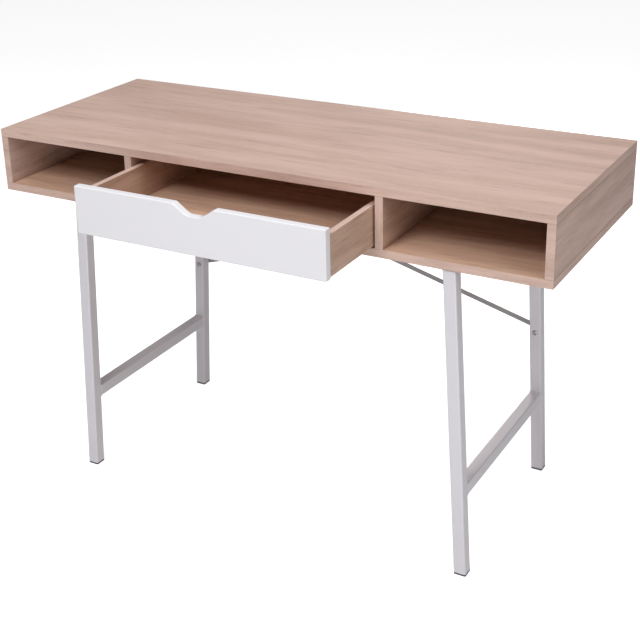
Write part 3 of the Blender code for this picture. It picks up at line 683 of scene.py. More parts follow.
def piece(
    name: str,
    shells: Sequence[Array],
    finish: Finish,
    body: str,
    stands_for: Sequence[str] = (),
    looped: bool = False,
) -> bpy.types.Object:
    """Makes one visible piece out of closed shells of rings.

    Args:
        name: the piece's name.
        shells: arrays of rings, one for each closed body, in the row frame.
        finish: its finish.
        body: the CAD body that it moves with.
        stands_for: the CAD nodes that it replaces.
        looped: whether each shell's last ring joins its first.

    Returns:
        The piece's object.
    """
    points, faces = [], []
    for rings in shells:
        rows, count, _ = rings.shape
        flat = rings.reshape(-1, 3)
        own = ring_faces(rows, count, looped, 0)
        if signed_volume(flat - flat.mean(0), own) < 0:
            own = [face[::-1] for face in own]
        first = sum(map(len, points))
        faces += [tuple(i + first for i in face) for face in own]
        points.append(flat)
    mesh = bpy.data.meshes.new(name)
    mesh.from_pydata(np.concatenate(points).tolist(), [], faces)
    mesh.shade_smooth()
    mesh.set_sharp_from_angle(angle=SHARP)
    mesh.materials.append(finish.material())
    obj = bpy.data.objects.new(name, mesh)
    bpy.context.scene.collection.objects.link(obj)
    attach(obj, body)
    if stands_for:
        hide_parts(*stands_for)
    LOG.info("%s: %d shells, %d faces, %s", name, len(shells), len(faces), finish.name)
    return obj


def dress(node: str, finish: Finish) -> None:
    """Gives a CAD node that keeps its own shape its finish.

    Args:
        node: the CAD node.
        finish: its finish.
    """
    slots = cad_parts[node].material_slots
    if not slots:
        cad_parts[node].data.materials.append(finish.material())
    for entry in slots:
        entry.material = finish.material()
    LOG.info("%s: CAD shape, %s", node, finish.name)


def box_of(node: str) -> tuple[Array, Array]:
    """Returns a CAD node's lowest and highest corners as arrays."""
    low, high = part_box(node)
    return np.array(low), np.array(high)


def middle(node: str) -> Array:
    """Returns the middle of a CAD node's box."""
    low, high = box_of(node)
    return (low + high) / 2


def band(low: Array, high: Array, axis: int, outward: int, proud: float, sink: float) -> Array:
    """An edge strip glued on a board's edge: a thin slab with rounded rim.

    Args:
        low: the lowest corner of the edge it covers.
        high: the highest corner.
        axis: 0, 1 or 2, the axis that the edge faces.
        outward: 1 or -1, the direction it faces.
        proud: how far it stands out.
        sink: how far it reaches in.

    Returns:
        Its rings in the row frame.
    """
    others = [i for i in range(3) if i != axis]
    sizes = (high - low)[others]
    thickness = proud + sink
    rim = rectangle(*sizes, min(BAND_CORNER, min(sizes) / 4), 3)
    rings = carried(rim, slab_profile(thickness, thickness * BAND_ROUNDING, 4))
    origin = (low + high) / 2
    origin[axis] = (high if outward > 0 else low)[axis] - outward * sink
    basis = np.eye(3)
    return placed(rings, origin, basis[others[0]], basis[others[1]], basis[axis] * outward)


# ---- fasteners ---------------------------------------------------------------------------------------
@dataclass(frozen=True)
class Screw:
    """The head and thread of one kind of screw."""

    head_radius: float
    head_height: float
    dome: float
    drive: Drive
    recess: float
    radius: float
    pitch: float
    thread_depth: float
    sides: int

    def shells(self, seat: Array, out: Array, length: float) -> list[Array]:
        """A screw whose head's driven face points along out.

        Args:
            seat: the middle of the head's seat.
            out: the direction from the seat to the driven face.
            length: its shank's length, which starts just inside the head.

        Returns:
            The two shells in the row frame.
        """
        head = head_rings(self.head_radius, self.head_height, self.dome, self.drive, self.recess)
        shank = thread_rings(self.radius, self.pitch, length, self.thread_depth, self.sides)
        u, v = across(out)
        inside = seat + out * OVERLAP
        return [placed(head, seat, u, v, out), placed(shank, inside, v, u, -out)]


LONG_SCREW = Screw(
    head_radius=0.0047,
    head_height=0.0036,
    dome=0.0001,
    drive=Drive.HEX,
    recess=0.0022,
    radius=0.0025,
    pitch=0.003,
    thread_depth=0.0006,
    sides=16,
)
GUIDE_SCREW = Screw(
    head_radius=0.0029,
    head_height=0.0013,
    dome=0.0002,
    drive=Drive.CROSS,
    recess=0.0007,
    radius=0.0015,
    pitch=0.0011,
    thread_depth=0.0004,
    sides=12,
)
DRAWER_SCREW = Screw(
    head_radius=0.0035,
    head_height=0.0013,
    dome=0.0002,
    drive=Drive.CROSS,
    recess=0.0007,
    radius=0.0018,
    pitch=0.0012,
    thread_depth=0.0005,
    sides=12,
)
PLATE_SCREW = Screw(
    head_radius=0.0040,
    head_height=0.0022,
    dome=0.0007,
    drive=Drive.CROSS,
    recess=0.0010,
    radius=0.0020,
    pitch=0.0014,
    thread_depth=0.0005,
    sides=14,
)
BRACE_BOLT = Screw(
    head_radius=0.0055,
    head_height=0.0032,
    dome=0.0016,
    drive=Drive.HEX,
    recess=0.0018,
    radius=0.003,
    pitch=0.001,
    thread_depth=0.0004,
    sides=16,
)


@dataclass(frozen=True)
class CamFitting:
    """A cam lock in one board, and the bolt that it draws, whose thread bites in the other board."""

    radius: float
    depth: float
    recess: float
    setback: float
    easing: float = 0.0002
    bolt_radius: float = 0.0025
    bolt_reach: float = 0.0098
    pitch: float = 0.0012
    thread_depth: float = 0.0004
    stem_radius: float = 0.002

    def lock(self) -> Array:
        """Returns the lock's rings, from its inner end to its driven face."""
        return head_rings(self.radius, self.depth, self.easing, Drive.CROSS, self.recess)

    def thread(self) -> Array:
        """Returns the rings of the bolt's thread."""
        return thread_rings(self.bolt_radius, self.pitch, self.bolt_reach, self.thread_depth)

    def stem(self) -> Array:
        """Returns the rings of the bolt's stem."""
        length = self.setback - self.radius
        return carried(circle(self.stem_radius, 20), slab_profile(length, self.easing, 2))


# ---- the box -----------------------------------------------------------------------------------------
@dataclass
class Carcass:
    """The six boards of the box, their edge strips, and the fittings that hold them together."""

    band_proud: float = 0.00015
    band_sink: float = 0.00055
    end_band_inset: float = 0.0006
    edge_contrast: float = 0.8
    dowel_radius: float = 0.004
    dowel_length: float = 0.029
    dowel_rounding: float = 0.0007
    dowel_rise: float = 0.0105
    dowel_reach: tuple[float, float] = (0.055, 0.405)
    flutes: int = 12
    flute_depth: float = 0.04
    cam: CamFitting = CamFitting(radius=0.0075, depth=0.0122, recess=0.0022, setback=0.034)
    cam_reach: tuple[float, float] = (0.105, 0.355)
    long_screw_reach: tuple[float, float] = (0.080, 0.380)
    long_screw_places: tuple[float, ...] = (-0.50, 0.0, 0.50)
    long_screw_seat: float = 0.0038
    long_screw_length: float = 0.045

    def uprights(self) -> dict[str, int]:
        """Returns the side that each upright's cam locks face."""
        return {"left_side_panel": 1, "left_divider": 1, "right_divider": -1, "right_side_panel": -1}

    def dress_boards(self) -> None:
        """Gives each board its own stretch of oak, with the grain along its length."""
        dress("top_panel", oak("top", GrainRun.ALONG_X, 0, 0.8))
        dress("bottom_panel", oak("bottom", GrainRun.ALONG_X, 1, tone=FLOOR_OAK))
        dress("back_panel", oak("back", GrainRun.ALONG_X, 2, tone=FLOOR_OAK))
        for cut, name in enumerate(self.uprights(), start=3):
            tone = INNER_OAK if name.endswith("divider") else OUTER_OAK
            dress(name, oak(name, GrainRun.ALONG_Y, cut, tone=tone))

    def add_front_bands(self) -> None:
        """Adds the strips on the front edges, with upright grain on the dividers and level elsewhere."""
        runs = {
            "top_panel": GrainRun.ALONG_X,
            "bottom_panel": GrainRun.ALONG_X,
            "left_side_panel": GrainRun.ALONG_X,
            "right_side_panel": GrainRun.ALONG_X,
            "left_divider": GrainRun.ALONG_Z,
            "right_divider": GrainRun.ALONG_Z,
        }
        for cut, (node, run) in enumerate(runs.items(), start=8):
            low, high = box_of(node)
            shell = band(low, high, 1, -1, self.band_proud, self.band_sink)
            # The front strips' paler tone is partly a painted highlight on edges that face the lamps.
            finish = oak(node + "_edge", run, cut, self.edge_contrast, EDGE_OAK_WITH_PAINTED_HIGHLIGHT)
            piece(node + "_front_band", [shell], finish, "desk")

    def add_end_bands(self) -> None:
        """Adds the strips on the ends of the top and bottom boards, with the grain along their depth."""
        for cut, node in enumerate(("top_panel", "bottom_panel"), start=14):
            low, high = box_of(node)
            low[1] += self.end_band_inset
            high[1] -= self.end_band_inset
            shells = [band(low, high, 0, side, self.band_proud / 2, self.band_sink) for side in (-1, 1)]
            piece(node + "_end_bands", shells, oak(node + "_ends", GrainRun.ALONG_Y, cut), "desk")

    def add_dowels(self) -> None:
        """Adds fluted beech dowels between the uprights and the top."""
        count = 48
        points, normals = circle(self.dowel_radius, count)
        angle = 2 * np.pi * np.arange(count) / count
        size = 1 - self.flute_depth * (1 + np.cos(self.flutes * angle))[:, None]
        rings = carried((points * size, normals), slab_profile(self.dowel_length, self.dowel_rounding, 3))
        shells = []
        for node in self.uprights():
            low, high = box_of(node)
            for reach in self.dowel_reach:
                top = high[2] + self.dowel_rise
                place = ((low[0] + high[0]) / 2, low[1] + reach, top - self.dowel_length)
                shells.append(placed(rings, place, X, Y, Z))
        piece("box_dowels", shells, BEECH, "desk")

    def add_cam_locks(self) -> None:
        """Adds the cam locks sunk in the uprights and the bolts that they hold."""
        lock, thread, stem = self.cam.lock(), self.cam.thread(), self.cam.stem()
        locks, bolts = [], []
        for node, facing in self.uprights().items():
            low, high = box_of(node)
            face = high[0] if facing > 0 else low[0]
            out = X * facing
            u, v = across(out)
            for reach in self.cam_reach:
                place = np.array([face, low[1] + reach, high[2] - self.cam.setback])
                locks.append(placed(lock, place - out * self.cam.depth, u, v, out))
                foot = np.array([(low[0] + high[0]) / 2, place[1], high[2]])
                bolts.append(placed(thread, foot, X, Y, Z))
                bolts.append(placed(stem, foot, Y, X, -Z))
        piece("box_cam_locks", locks, ZINC, "desk")
        piece("box_cam_bolts", bolts, ZINC, "desk")

    def add_long_screws(self) -> None:
        """Adds the long screws that go up through the bottom board into the uprights and the back."""
        bottom = box_of("bottom_panel")[0]
        back = middle("back_panel")
        columns = [middle(node)[0] for node in self.uprights()]
        centres = [(x, bottom[1] + reach) for x in columns for reach in self.long_screw_reach]
        centres += [(x, back[1]) for x in self.long_screw_places]
        length = self.long_screw_length - LONG_SCREW.head_height
        shells = []
        for x, y in centres:
            shells += LONG_SCREW.shells(np.array([x, y, bottom[2] + self.long_screw_seat]), -Z, length)
        piece("box_long_screws", shells, ZINC, "desk")

    def build(self) -> None:
        """Builds and dresses the whole box."""
        self.dress_boards()
        self.add_front_bands()
        self.add_end_bands()
        self.add_dowels()
        self.add_cam_locks()
        self.add_long_screws()


@dataclass
class DrawerGuides:
    """Glide strips, kicker strips and stop blocks in the drawer's bay, with their screws."""

    screw_reach: tuple[float, ...] = (0.085, 0.255, 0.425)
    countersink: float = 0.0001
    bite: float = 0.0085

    def build(self) -> None:
        """Dresses the strips and blocks, and adds their screws."""
        front = box_of("top_panel")[0][1]
        ceiling = box_of("top_panel")[0][2]
        shells = []
        for cut, side in enumerate(("left", "right"), start=20):
            dress(side + "_glide_strip", NYLON)
            dress(side + "_stop_block", NYLON)
            dress(side + "_kicker_strip", oak(side + "_kicker", GrainRun.ALONG_Y, cut))
            kicker, block = box_of(side + "_kicker_strip"), box_of(side + "_stop_block")
            x = (kicker[0][0] + kicker[1][0]) / 2
            seats = [np.array([x, front + reach, kicker[0][2]]) for reach in self.screw_reach]
            seats.append(np.array([*middle(side + "_stop_block")[:2], block[0][2]]))
            for seat in seats:
                seat[2] += GUIDE_SCREW.head_height + self.countersink
                shells += GUIDE_SCREW.shells(seat, -Z, ceiling + self.bite - seat[2])
        piece("guide_screws", shells, ZINC, "desk")


# ---- the drawer --------------------------------------------------------------------------------------
@dataclass
class Drawer:
    """The pull-out drawer: a white front with a finger notch, oak sides and back, and a thin floor."""

    rounding: float = 0.0018
    corner: float = 0.0024
    notch_top: float = 0.087
    notch_flat: float = 0.032
    notch_depth: float = 0.0195
    notch_radii: tuple[float, float] = (0.006, 0.024)
    band_proud: float = 0.0001
    band_sink: float = 0.00055
    edge_contrast: float = 0.7
    dowel_radius: float = 0.003
    dowel_length: float = 0.027
    dowel_rounding: float = 0.0005
    dowel_bite: float = 0.0095
    dowel_heights: tuple[float, float] = (0.026, 0.066)
    cam: CamFitting = CamFitting(radius=0.006, depth=0.0088, recess=0.0018, setback=0.026)
    cam_height: float = 0.046
    screw_heights: tuple[float, float] = (0.028, 0.066)
    screw_seat: float = 0.0014
    screw_length: float = 0.0284

    def front_outline(self) -> tuple[Array, Array]:
        """The front's outline, with the notch's slopes run into its flat by wide arcs.

        Returns:
            The outline's points and their outward normals.
        """
        low, high = box_of("drawer_front")
        half, height = (high[0] - low[0]) / 2, high[2] - low[2]
        top, flat = self.notch_top / 2, self.notch_flat / 2
        dip = height - self.notch_depth
        corners = [(-half, 0), (half, 0), (half, height), (top, height), (flat, dip)]
        corners += [(-flat, dip), (-top, height), (-half, height)]
        shoulder, foot = self.notch_radii
        radii = (self.corner,) * 3 + (shoulder, foot, foot, shoulder) + (self.corner,)
        return rounded_outline(np.array(corners, float), np.array(radii), 10)

    def add_front(self) -> None:
        """Adds the front, its rim rounded all the way round and through the notch."""
        low, high = box_of("drawer_front")
        rings = carried(self.front_outline(), slab_profile(high[1] - low[1], self.rounding, 7))
        shell = placed(rings, ((low[0] + high[0]) / 2, low[1], low[2]), X, Z, Y)
        piece("drawer_front_panel", [shell], FRONT_WHITE, "drawer", ["drawer_front"])

    def dress_boards(self) -> None:
        """Gives the sides, back and floor their oak, and adds the strips on their top edges."""
        boards = {
            "drawer_left_side": GrainRun.ALONG_Y,
            "drawer_right_side": GrainRun.ALONG_Y,
            "drawer_back": GrainRun.ALONG_X,
            "drawer_bottom": GrainRun.ALONG_X,
        }
        for cut, (node, run) in enumerate(boards.items(), start=30):
            dress(node, oak(node, run, cut, tone=INNER_OAK if run is GrainRun.ALONG_Y else FLOOR_OAK))
            if node != "drawer_bottom":
                shell = band(*box_of(node), 2, 1, self.band_proud, self.band_sink)
                # The top strips' paler tone is partly a painted highlight on edges that face the lamps.
                finish = oak(node + "_edge", run, cut + 8, self.edge_contrast, EDGE_OAK_WITH_PAINTED_HIGHLIGHT)
                piece(node + "_top_band", [shell], finish, "drawer")

    def add_fittings(self) -> None:
        """Adds the dowels and cam locks that hold the front, and the screws that hold the back."""
        base = box_of("drawer_front")[0]
        rear = box_of("drawer_front")[1][1]
        profile = slab_profile(self.dowel_length, self.dowel_rounding, 3)
        dowel = carried(circle(self.dowel_radius, 24), profile)
        lock, thread, stem = self.cam.lock(), self.cam.thread(), self.cam.stem()
        dowels, locks, bolts, screws = [], [], [], []
        for name in ("drawer_left_side", "drawer_right_side"):
            low, high = box_of(name)
            x = (low[0] + high[0]) / 2
            side = float(np.sign(x))
            inner = high[0] if side < 0 else low[0]
            outer = low[0] if side < 0 else high[0]
            for height in self.dowel_heights:
                dowels.append(placed(dowel, (x, rear - self.dowel_bite, base[2] + height), Z, X, Y))
            place = np.array([inner, rear + self.cam.setback, base[2] + self.cam_height])
            out = -X * side
            locks.append(placed(lock, place - out * self.cam.depth, *across(out), out))
            foot = np.array([x, rear, place[2]])
            bolts.append(placed(thread, foot, X, Z, -Y))
            bolts.append(placed(stem, foot, Z, X, Y))
            for height in self.screw_heights:
                seat = np.array([outer - side * self.screw_seat, middle("drawer_back")[1], base[2] + height])
                screws += DRAWER_SCREW.shells(seat, X * side, self.screw_length)
        piece("drawer_dowels", dowels, BEECH, "drawer")
        piece("drawer_cam_locks", locks, ZINC, "drawer")
        piece("drawer_cam_bolts", bolts, ZINC, "drawer")
        piece("drawer_back_screws", screws, ZINC, "drawer")

    def build(self) -> None:
        """Builds and dresses the whole drawer."""
        self.add_front()
        self.dress_boards()
        self.add_fittings()


# ---- the leg frames ----------------------------------------------------------------------------------
@dataclass
class LegFrame:
    """One side's frame: two leaning square tubes, the low crossbar between them, plates, caps and welds."""

    side: int
    tube: float = 0.025
    wall: float = 0.0015
    corner: float = 0.0028
    bead: float = 0.0013
    bead_gap: float = 0.00015
    ripple: float = 0.0026
    ripple_swell: float = 0.13
    plate_bead_share: float = 0.75
    plate_bead_drop: float = 0.0003
    cap_gap: float = 0.0003
    cap_foot: Sequence[tuple[float, float]] = ((0.0012, 0.0), (0.0009, 0.0), (0.0003, 0.0002), (0.0, 0.0008))
    cap_easing: tuple[float, float] = (0.0003, 0.0004)
    cap_ribs: tuple[float, float] = (0.006, 0.014)
    rib_half: float = 0.001
    rib_height: float = 0.0002
    cap_taper: float = 0.001

    def __post_init__(self) -> None:
        """Works out the frame's names and its legs' ends from the CAD."""
        self.word = "right" if self.side > 0 else "left"
        low, high = box_of(f"front_{self.word}_leg")
        half = self.tube / 2
        inner, outer = (low[0], high[0]) if self.side > 0 else (high[0], low[0])
        self.foot_z, self.top_z = low[2], high[2]
        self.foot_x, self.top_x = outer - self.side * half, inner + self.side * half

    def centre_x(self, height: Array | float) -> Array | float:
        """Returns a leg's centre line at a height: a straight line from its foot to its top."""
        share = (height - self.foot_z) / (self.top_z - self.foot_z)
        return self.foot_x + (self.top_x - self.foot_x) * share

    def leaning(self, rings: Array, y: float) -> Array:
        """Moves rings to a leg: each point shifts to where the leg's centre line is at the point's height.

        Args:
            rings: rings round the Z axis.
            y: where the leg stands along Y.

        Returns:
            The moved rings.
        """
        moved = rings.copy()
        moved[..., 0] += self.centre_x(rings[..., 2])
        moved[..., 1] += y
        return moved

    def tube_rings(self, start: float, end: float, count: int = 9) -> Array:
        """A square tube: rings out along its skin from start to end, and back along its bore.

        Args:
            start: the height of its first end.
            end: the height of its other end.
            count: how many rings its skin and its bore have each.

        Returns:
            Rings of points, shaped (rows, points, 3).
        """
        bore = self.tube - 2 * self.wall
        outer = rectangle(self.tube, self.tube, self.corner)
        inner = rectangle(bore, bore, self.corner - self.wall)
        stops = np.linspace(start, end, count)
        skin = carried(outer, np.column_stack([np.zeros(count), stops]))
        inside = carried(inner, np.column_stack([np.zeros(count), stops[::-1]]))
        return np.concatenate([skin, inside])

    def add_leg(self, row: str) -> None:
        """Adds a leg's tube, replacing its faceted solid.

        Args:
            row: front or rear.
        """
        node = f"{row}_{self.word}_leg"
        rings = self.leaning(self.tube_rings(self.foot_z, self.top_z), middle(node)[1])
        piece(node + "_tube", [rings], FRAME_WHITE, "desk", [node], looped=True)

    def add_cap(self, row: str) -> None:
        """Adds the plug in a leg's end: a flange with rounded rims, and a stem with ribs inside the tube.

        Args:
            row: front or rear.
        """
        node = f"{row}_{self.word}_foot_cap"
        low, high = box_of(node)
        flange = self.foot_z - low[2] - self.cap_gap
        stem = self.wall + self.cap_gap
        inset, drop = self.cap_easing
        rows = [*self.cap_foot, (0.0, flange - drop), (inset, flange), (stem, flange)]
        for rib in self.cap_ribs:
            crest = (stem - self.rib_height, flange + rib)
            rows += [(stem, flange + rib - self.rib_half), crest, (stem, flange + rib + self.rib_half)]
        rows.append((stem + self.cap_taper, high[2] - low[2]))
        rings = carried(rectangle(self.tube, self.tube, self.corner), np.array(rows))
        rings[..., 2] += low[2]
        rings = self.leaning(rings, middle(node)[1])
        piece(node + "_plug", [rings], CAP_PLASTIC, "desk", [node])

    def crossbar_basis(self) -> tuple[Array, Array]:
        """Returns the crossbar's own side and up directions, which lean with the legs."""
        up = unit(np.array([self.top_x - self.foot_x, 0.0, self.top_z - self.foot_z]))
        return np.cross(up, Y) * -1, up

    def add_crossbar(self) -> None:
        """Adds the low crossbar's tube, which leans with the legs."""
        node = self.word + "_crossbar"
        low, high = box_of(node)
        half = (high[1] - low[1]) / 2
        sideways, up = self.crossbar_basis()
        rings = placed(self.tube_rings(-half, half), middle(node), sideways, up, Y)
        piece(node + "_tube", [rings], FRAME_WHITE, "desk", [node], looped=True)

    def bead_rings(self, outline: tuple[Array, Array], count: int = 160, sides: int = 10) -> Array:
        """A weld bead round an outline.

        A circle is carried along the outline; its radius swells and shrinks with the length along the
        outline, one ripple for each pitch of the weld.

        Args:
            outline: the points and normals that the bead follows.
            count: how many rings there are along it.
            sides: points round each ring.

        Returns:
            Rings round the bead's own centre line, in the outline's plane.
        """
        points, normals = outline
        closed = np.vstack([points, points[:1]])
        run = np.concatenate([[0.0], np.cumsum(np.linalg.norm(np.diff(closed, axis=0), axis=1))])
        stops = np.linspace(0.0, run[-1], count, endpoint=False)
        line = np.stack([np.interp(stops, run, closed[:, i]) for i in range(2)], axis=1)
        facing = np.vstack([normals, normals[:1]])
        out = unit(np.stack([np.interp(stops, run, facing[:, i]) for i in range(2)], axis=1))
        ripples = round(run[-1] / self.ripple)
        size = self.bead * (1 + self.ripple_swell * np.cos(2 * np.pi * ripples * stops / run[-1]))
        angle = 2 * np.pi * np.arange(sides) / sides
        flat = line[:, None] + out[:, None] * (size[:, None] * np.cos(angle))[..., None]
        height = size[:, None] * np.sin(angle)
        return np.concatenate([flat, height[..., None]], axis=2)

    def add_welds(self) -> None:
        """Adds the beads where the crossbar meets the legs, and where each leg meets its plate."""
        bead = self.bead_rings(rectangle(self.tube, self.tube, self.corner))
        small = bead * (1.0, 1.0, self.plate_bead_share)
        node = self.word + "_crossbar"
        low, high = box_of(node)
        sideways, up = self.crossbar_basis()
        centre = middle(node)
        shells = []
        for y in (low[1] - self.bead_gap, high[1] + self.bead_gap):
            shells.append(placed(bead, (centre[0], y, centre[2]), sideways, up, Y))
        for row in ("front", "rear"):
            foot = middle(f"{row}_{self.word}_leg")[1]
            plate = box_of(f"{row}_{self.word}_mounting_plate")[0]
            shells.append(placed(small, (self.top_x, foot, plate[2] - self.plate_bead_drop), X, Y, Z))
        piece(self.word + "_frame_welds", shells, FRAME_WHITE, "desk", looped=True)

    def add_plate_screws(self, row: str) -> None:
        """Adds the three cross-head screws of a mounting plate.

        Args:
            row: front or rear.
        """
        stem = f"{row}_{self.word}_plate_screw_"
        dress(f"{row}_{self.word}_mounting_plate", FRAME_WHITE)
        shells, nodes = [], [f"{stem}{number}" for number in (1, 2, 3)]
        for node in nodes:
            low, high = box_of(node)
            seat = np.array([*middle(node)[:2], low[2] + PLATE_SCREW.head_height])
            shells += PLATE_SCREW.shells(seat, -Z, high[2] - seat[2] + OVERLAP)
        piece(stem + "set", shells, ZINC, "desk", nodes)

    def build(self) -> None:
        """Builds and dresses the whole frame."""
        for row in ("front", "rear"):
            self.add_leg(row)
            self.add_cap(row)
            self.add_plate_screws(row)
        self.add_crossbar()
        self.add_welds()


@dataclass
class Brace:
    """One of the two crossed flat braces between the rear legs, with its bolts, nuts and spacers."""

    side: str
    width: float = 0.010
    edge: float = 0.0004
    end_flat: float = 0.00002
    nut_across: float = 0.010
    nut_face_share: float = 1.02
    nut_slope: float = 1.7
    nut_bore_share: float = 0.95
    washer_edge: float = 0.0003

    def ends(self) -> tuple[Array, Array]:
        """Returns the middles of the low and the high bolt."""
        return middle(self.side + "_brace_low_bolt"), middle(self.side + "_brace_high_bolt")

    def add_bar(self) -> None:
        """Adds the flat bar: a strip with round ends and broken edges, along the line between its bolts."""
        node = self.side + "_brace"
        low_bolt, high_bolt = self.ends()
        low, high = box_of(node)
        run = (high_bolt - low_bolt) * (1.0, 0.0, 1.0)
        length = np.linalg.norm(run) + self.width
        along = unit(run)
        outline = rectangle(length, self.width, (self.width - self.end_flat) / 2, 8)
        rings = carried(outline, slab_profile(high[1] - low[1], self.edge, 3))
        origin = (low_bolt + high_bolt) / 2
        origin[1] = low[1]
        shell = placed(rings, origin, along, np.cross(Y, along), Y)
        piece(node + "_bar", [shell], BRACE_GREY, "desk", [node])

    def nut_rings(self, thickness: float, sides: int = 48) -> Array:
        """A hexagon nut with a round bore: its radius is the lesser of a hexagon's and a cone's at each face.

        Args:
            thickness: the nut's thickness.
            sides: points round its axis.

        Returns:
            Rings over its skin and back through its bore.
        """
        angle = 2 * np.pi * (np.arange(sides) + 0.5) / sides
        hexagon = self.nut_across / 2 / np.cos(np.mod(angle, np.pi / 3) - np.pi / 6)
        height = np.array([0.0, 0.0003, 0.0008, 0.5, 0.9992, 0.9997, 1.0])
        depth = np.minimum(height, 1 - height)[:, None] * thickness
        cone = self.nut_across / 2 * self.nut_face_share + depth * self.nut_slope
        bore = np.full((2, sides), BRACE_BOLT.radius * self.nut_bore_share)
        size = np.concatenate([np.minimum(hexagon[None], cone), bore])
        level = np.concatenate([height * thickness, [thickness, 0.0]])[:, None] + 0 * angle
        return np.stack([size * np.cos(angle), size * np.sin(angle), level], axis=2)

    def add_fasteners(self) -> None:
        """Adds each end's socket-head bolt, nut and, on the outer brace, spacer."""
        for end in ("low", "high"):
            stem = f"{self.side}_brace_{end}"
            low, high = box_of(stem + "_bolt")
            centre = middle(stem + "_bolt")
            seat = np.array([centre[0], low[1] + BRACE_BOLT.head_height, centre[2]])
            bolt = BRACE_BOLT.shells(seat, -Y, high[1] - seat[1] + OVERLAP)
            piece(stem + "_socket_bolt", bolt, DARK_BOLT, "desk", [stem + "_bolt"])
            low, high = box_of(stem + "_nut")
            nut = placed(self.nut_rings(high[1] - low[1]), (centre[0], low[1], centre[2]), Z, X, Y)
            piece(stem + "_hexagon_nut", [nut], ZINC, "desk", [stem + "_nut"], looped=True)
            spacer = stem + "_spacer"
            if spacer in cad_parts:
                low, high = box_of(spacer)
                profile = slab_profile(high[1] - low[1], self.washer_edge, 3)
                rings = carried(circle((high[0] - low[0]) / 2), profile)
                shell = placed(rings, (centre[0], low[1], centre[2]), Z, X, Y)
                piece(stem + "_washer", [shell], ZINC, "desk", [spacer])

    def build(self) -> None:
        """Builds and dresses the brace."""
        self.add_bar()
        self.add_fasteners()


# ---- the studio --------------------------------------------------------------------------------------
@dataclass(frozen=True)
class Lamp:
    """A square soft light that faces the desk."""

    name: str
    place: Place
    size: float
    power: float
    tint: Colour = (1.0, 1.0, 1.0)

    def build(self, aim: Array) -> None:
        """Adds the light.

        Args:
            aim: the point it faces.
        """
        data = bpy.data.lights.new(self.name, "AREA")
        data.size, data.energy, data.color = self.size, self.power, self.tint
        lamp = bpy.data.objects.new(self.name, data)
        lamp.location = self.place
        lamp.rotation_euler = Vector(aim - np.array(self.place)).to_track_quat("-Z", "Y").to_euler()
        bpy.context.scene.collection.objects.link(lamp)


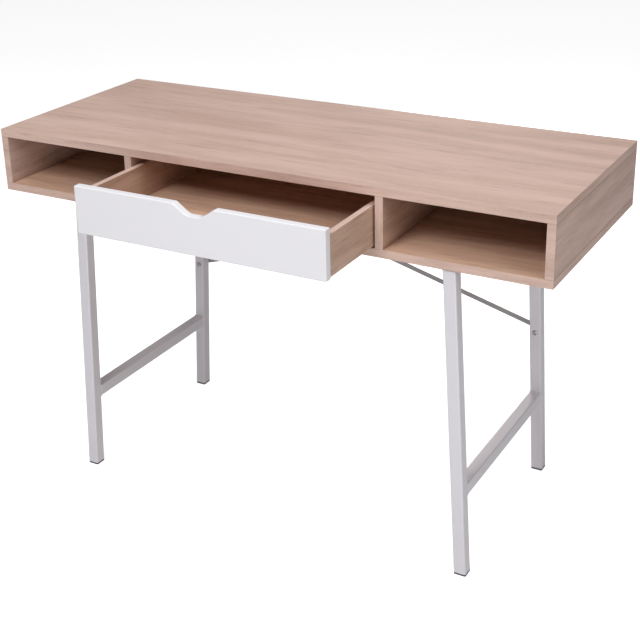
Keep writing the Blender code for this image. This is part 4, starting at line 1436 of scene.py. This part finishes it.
@dataclass
class Studio:
    """A pale floor that runs out of sight, white surroundings, soft lights and the camera."""

    floor_reach: float = 40.0
    floor_colour: Colour = (0.80, 0.80, 0.80)
    floor_glow: float = 0.76
    room_strength: float = 0.18
    floor_mottle: float = 0.985
    camera_place: Place = (1.2011, -1.9961, 1.4675)
    camera_turn: Place = (68.2934, 1.2320, 29.1947)
    lens: float = 70.05
    sensor: float = 36.0
    shift: tuple[float, float] = (0.0054, -0.1094)
    lamp_aim: Place = (0.0, 0.0, 0.45)
    lamps: tuple[Lamp, ...] = (
        Lamp("key_light", (-0.2, -2.35, 2.95), 1.1, 56.0),
        Lamp("low_light", (1.5, -2.6, 0.32), 0.6, 11.0),
        Lamp("top_light", (0.1, -0.2, 3.2), 2.2, 38.0),
        Lamp("right_light", (2.6, -0.7, 2.1), 1.4, 18.0),
        Lamp("back_light", (-0.8, 2.9, 0.52), 0.9, 20.0),
    )

    def floor_material(self) -> bpy.types.Material:
        """Builds the floor's pale matt finish, with a faint mottle and a glow that only the eye sees.

        Returns:
            The material.
        """
        made = bpy.data.materials.new("studio_floor")
        made.use_nodes = True
        graph = Graph(made.node_tree)
        shader = made.node_tree.nodes["Principled BSDF"]
        where = graph.add("ShaderNodeTexCoord").outputs["Object"]
        pale = rgba(self.floor_colour)
        red, green, blue = self.floor_colour
        darker = rgba((self.floor_mottle * red, self.floor_mottle * green, self.floor_mottle * blue))
        colour = graph.mix(graph.noise(where, 3.0, 3.0), pale, darker)
        graph.tree.links.new(colour, shader.inputs["Base Color"])
        shader.inputs["Roughness"].default_value = 0.9
        shader.inputs["Specular IOR Level"].default_value = 0.1
        shader.inputs["Emission Color"].default_value = rgba((1.0, 1.0, 1.0))
        sight = graph.add("ShaderNodeLightPath").outputs["Is Camera Ray"]
        glow = graph.math("MULTIPLY", sight, self.floor_glow)
        graph.tree.links.new(glow, shader.inputs["Emission Strength"])
        return made

    def add_floor(self) -> None:
        """Adds the floor, a flat square under the feet."""
        reach = self.floor_reach
        corners = [(-reach, -reach, 0.0), (reach, -reach, 0.0), (reach, reach, 0.0), (-reach, reach, 0.0)]
        mesh = bpy.data.meshes.new("studio_floor")
        mesh.from_pydata(corners, [], [(0, 1, 2, 3)])
        mesh.materials.append(self.floor_material())
        floor = bpy.data.objects.new("studio_floor", mesh)
        bpy.context.scene.collection.objects.link(floor)

    def add_room(self) -> None:
        """Adds the surroundings: white to the eye, and softer as light."""
        world = bpy.data.worlds.new("studio_room")
        world.use_nodes = True
        bpy.context.scene.world = world
        graph = Graph(world.node_tree)
        seen = world.node_tree.nodes["Background"]
        seen.inputs["Color"].default_value = rgba((1.0, 1.0, 1.0))
        strength = graph.math("SUBTRACT", 1.0, self.room_strength)
        sight = graph.add("ShaderNodeLightPath").outputs["Is Camera Ray"]
        strength = graph.math("MULTIPLY", sight, strength)
        graph.tree.links.new(graph.math("ADD", strength, self.room_strength), seen.inputs["Strength"])

    def add_camera(self) -> None:
        """Adds the camera, above the desk's right front corner and looking down at it."""
        data = bpy.data.cameras.new("studio_camera")
        data.lens, data.sensor_width = self.lens, self.sensor
        data.shift_x, data.shift_y = self.shift
        camera = bpy.data.objects.new("studio_camera", data)
        camera.location = self.camera_place
        camera.rotation_euler = [math.radians(turn) for turn in self.camera_turn]
        bpy.context.scene.collection.objects.link(camera)
        bpy.context.scene.camera = camera

    def build(self) -> None:
        """Builds the whole studio."""
        self.add_floor()
        self.add_room()
        self.add_camera()
        for lamp in self.lamps:
            lamp.build(np.array(self.lamp_aim))
        bpy.context.scene.view_settings.view_transform = "Standard"


def main() -> None:
    """Builds the desk's looks piece by piece, then the studio round it."""
    logging.basicConfig(level=logging.INFO, format="%(name)s %(message)s")
    Carcass().build()
    DrawerGuides().build()
    Drawer().build()
    for side in (-1, 1):
        LegFrame(side).build()
    for word in ("left", "right"):
        Brace(word).build()
    Studio().build()


if __name__ == "__main__":
    main()
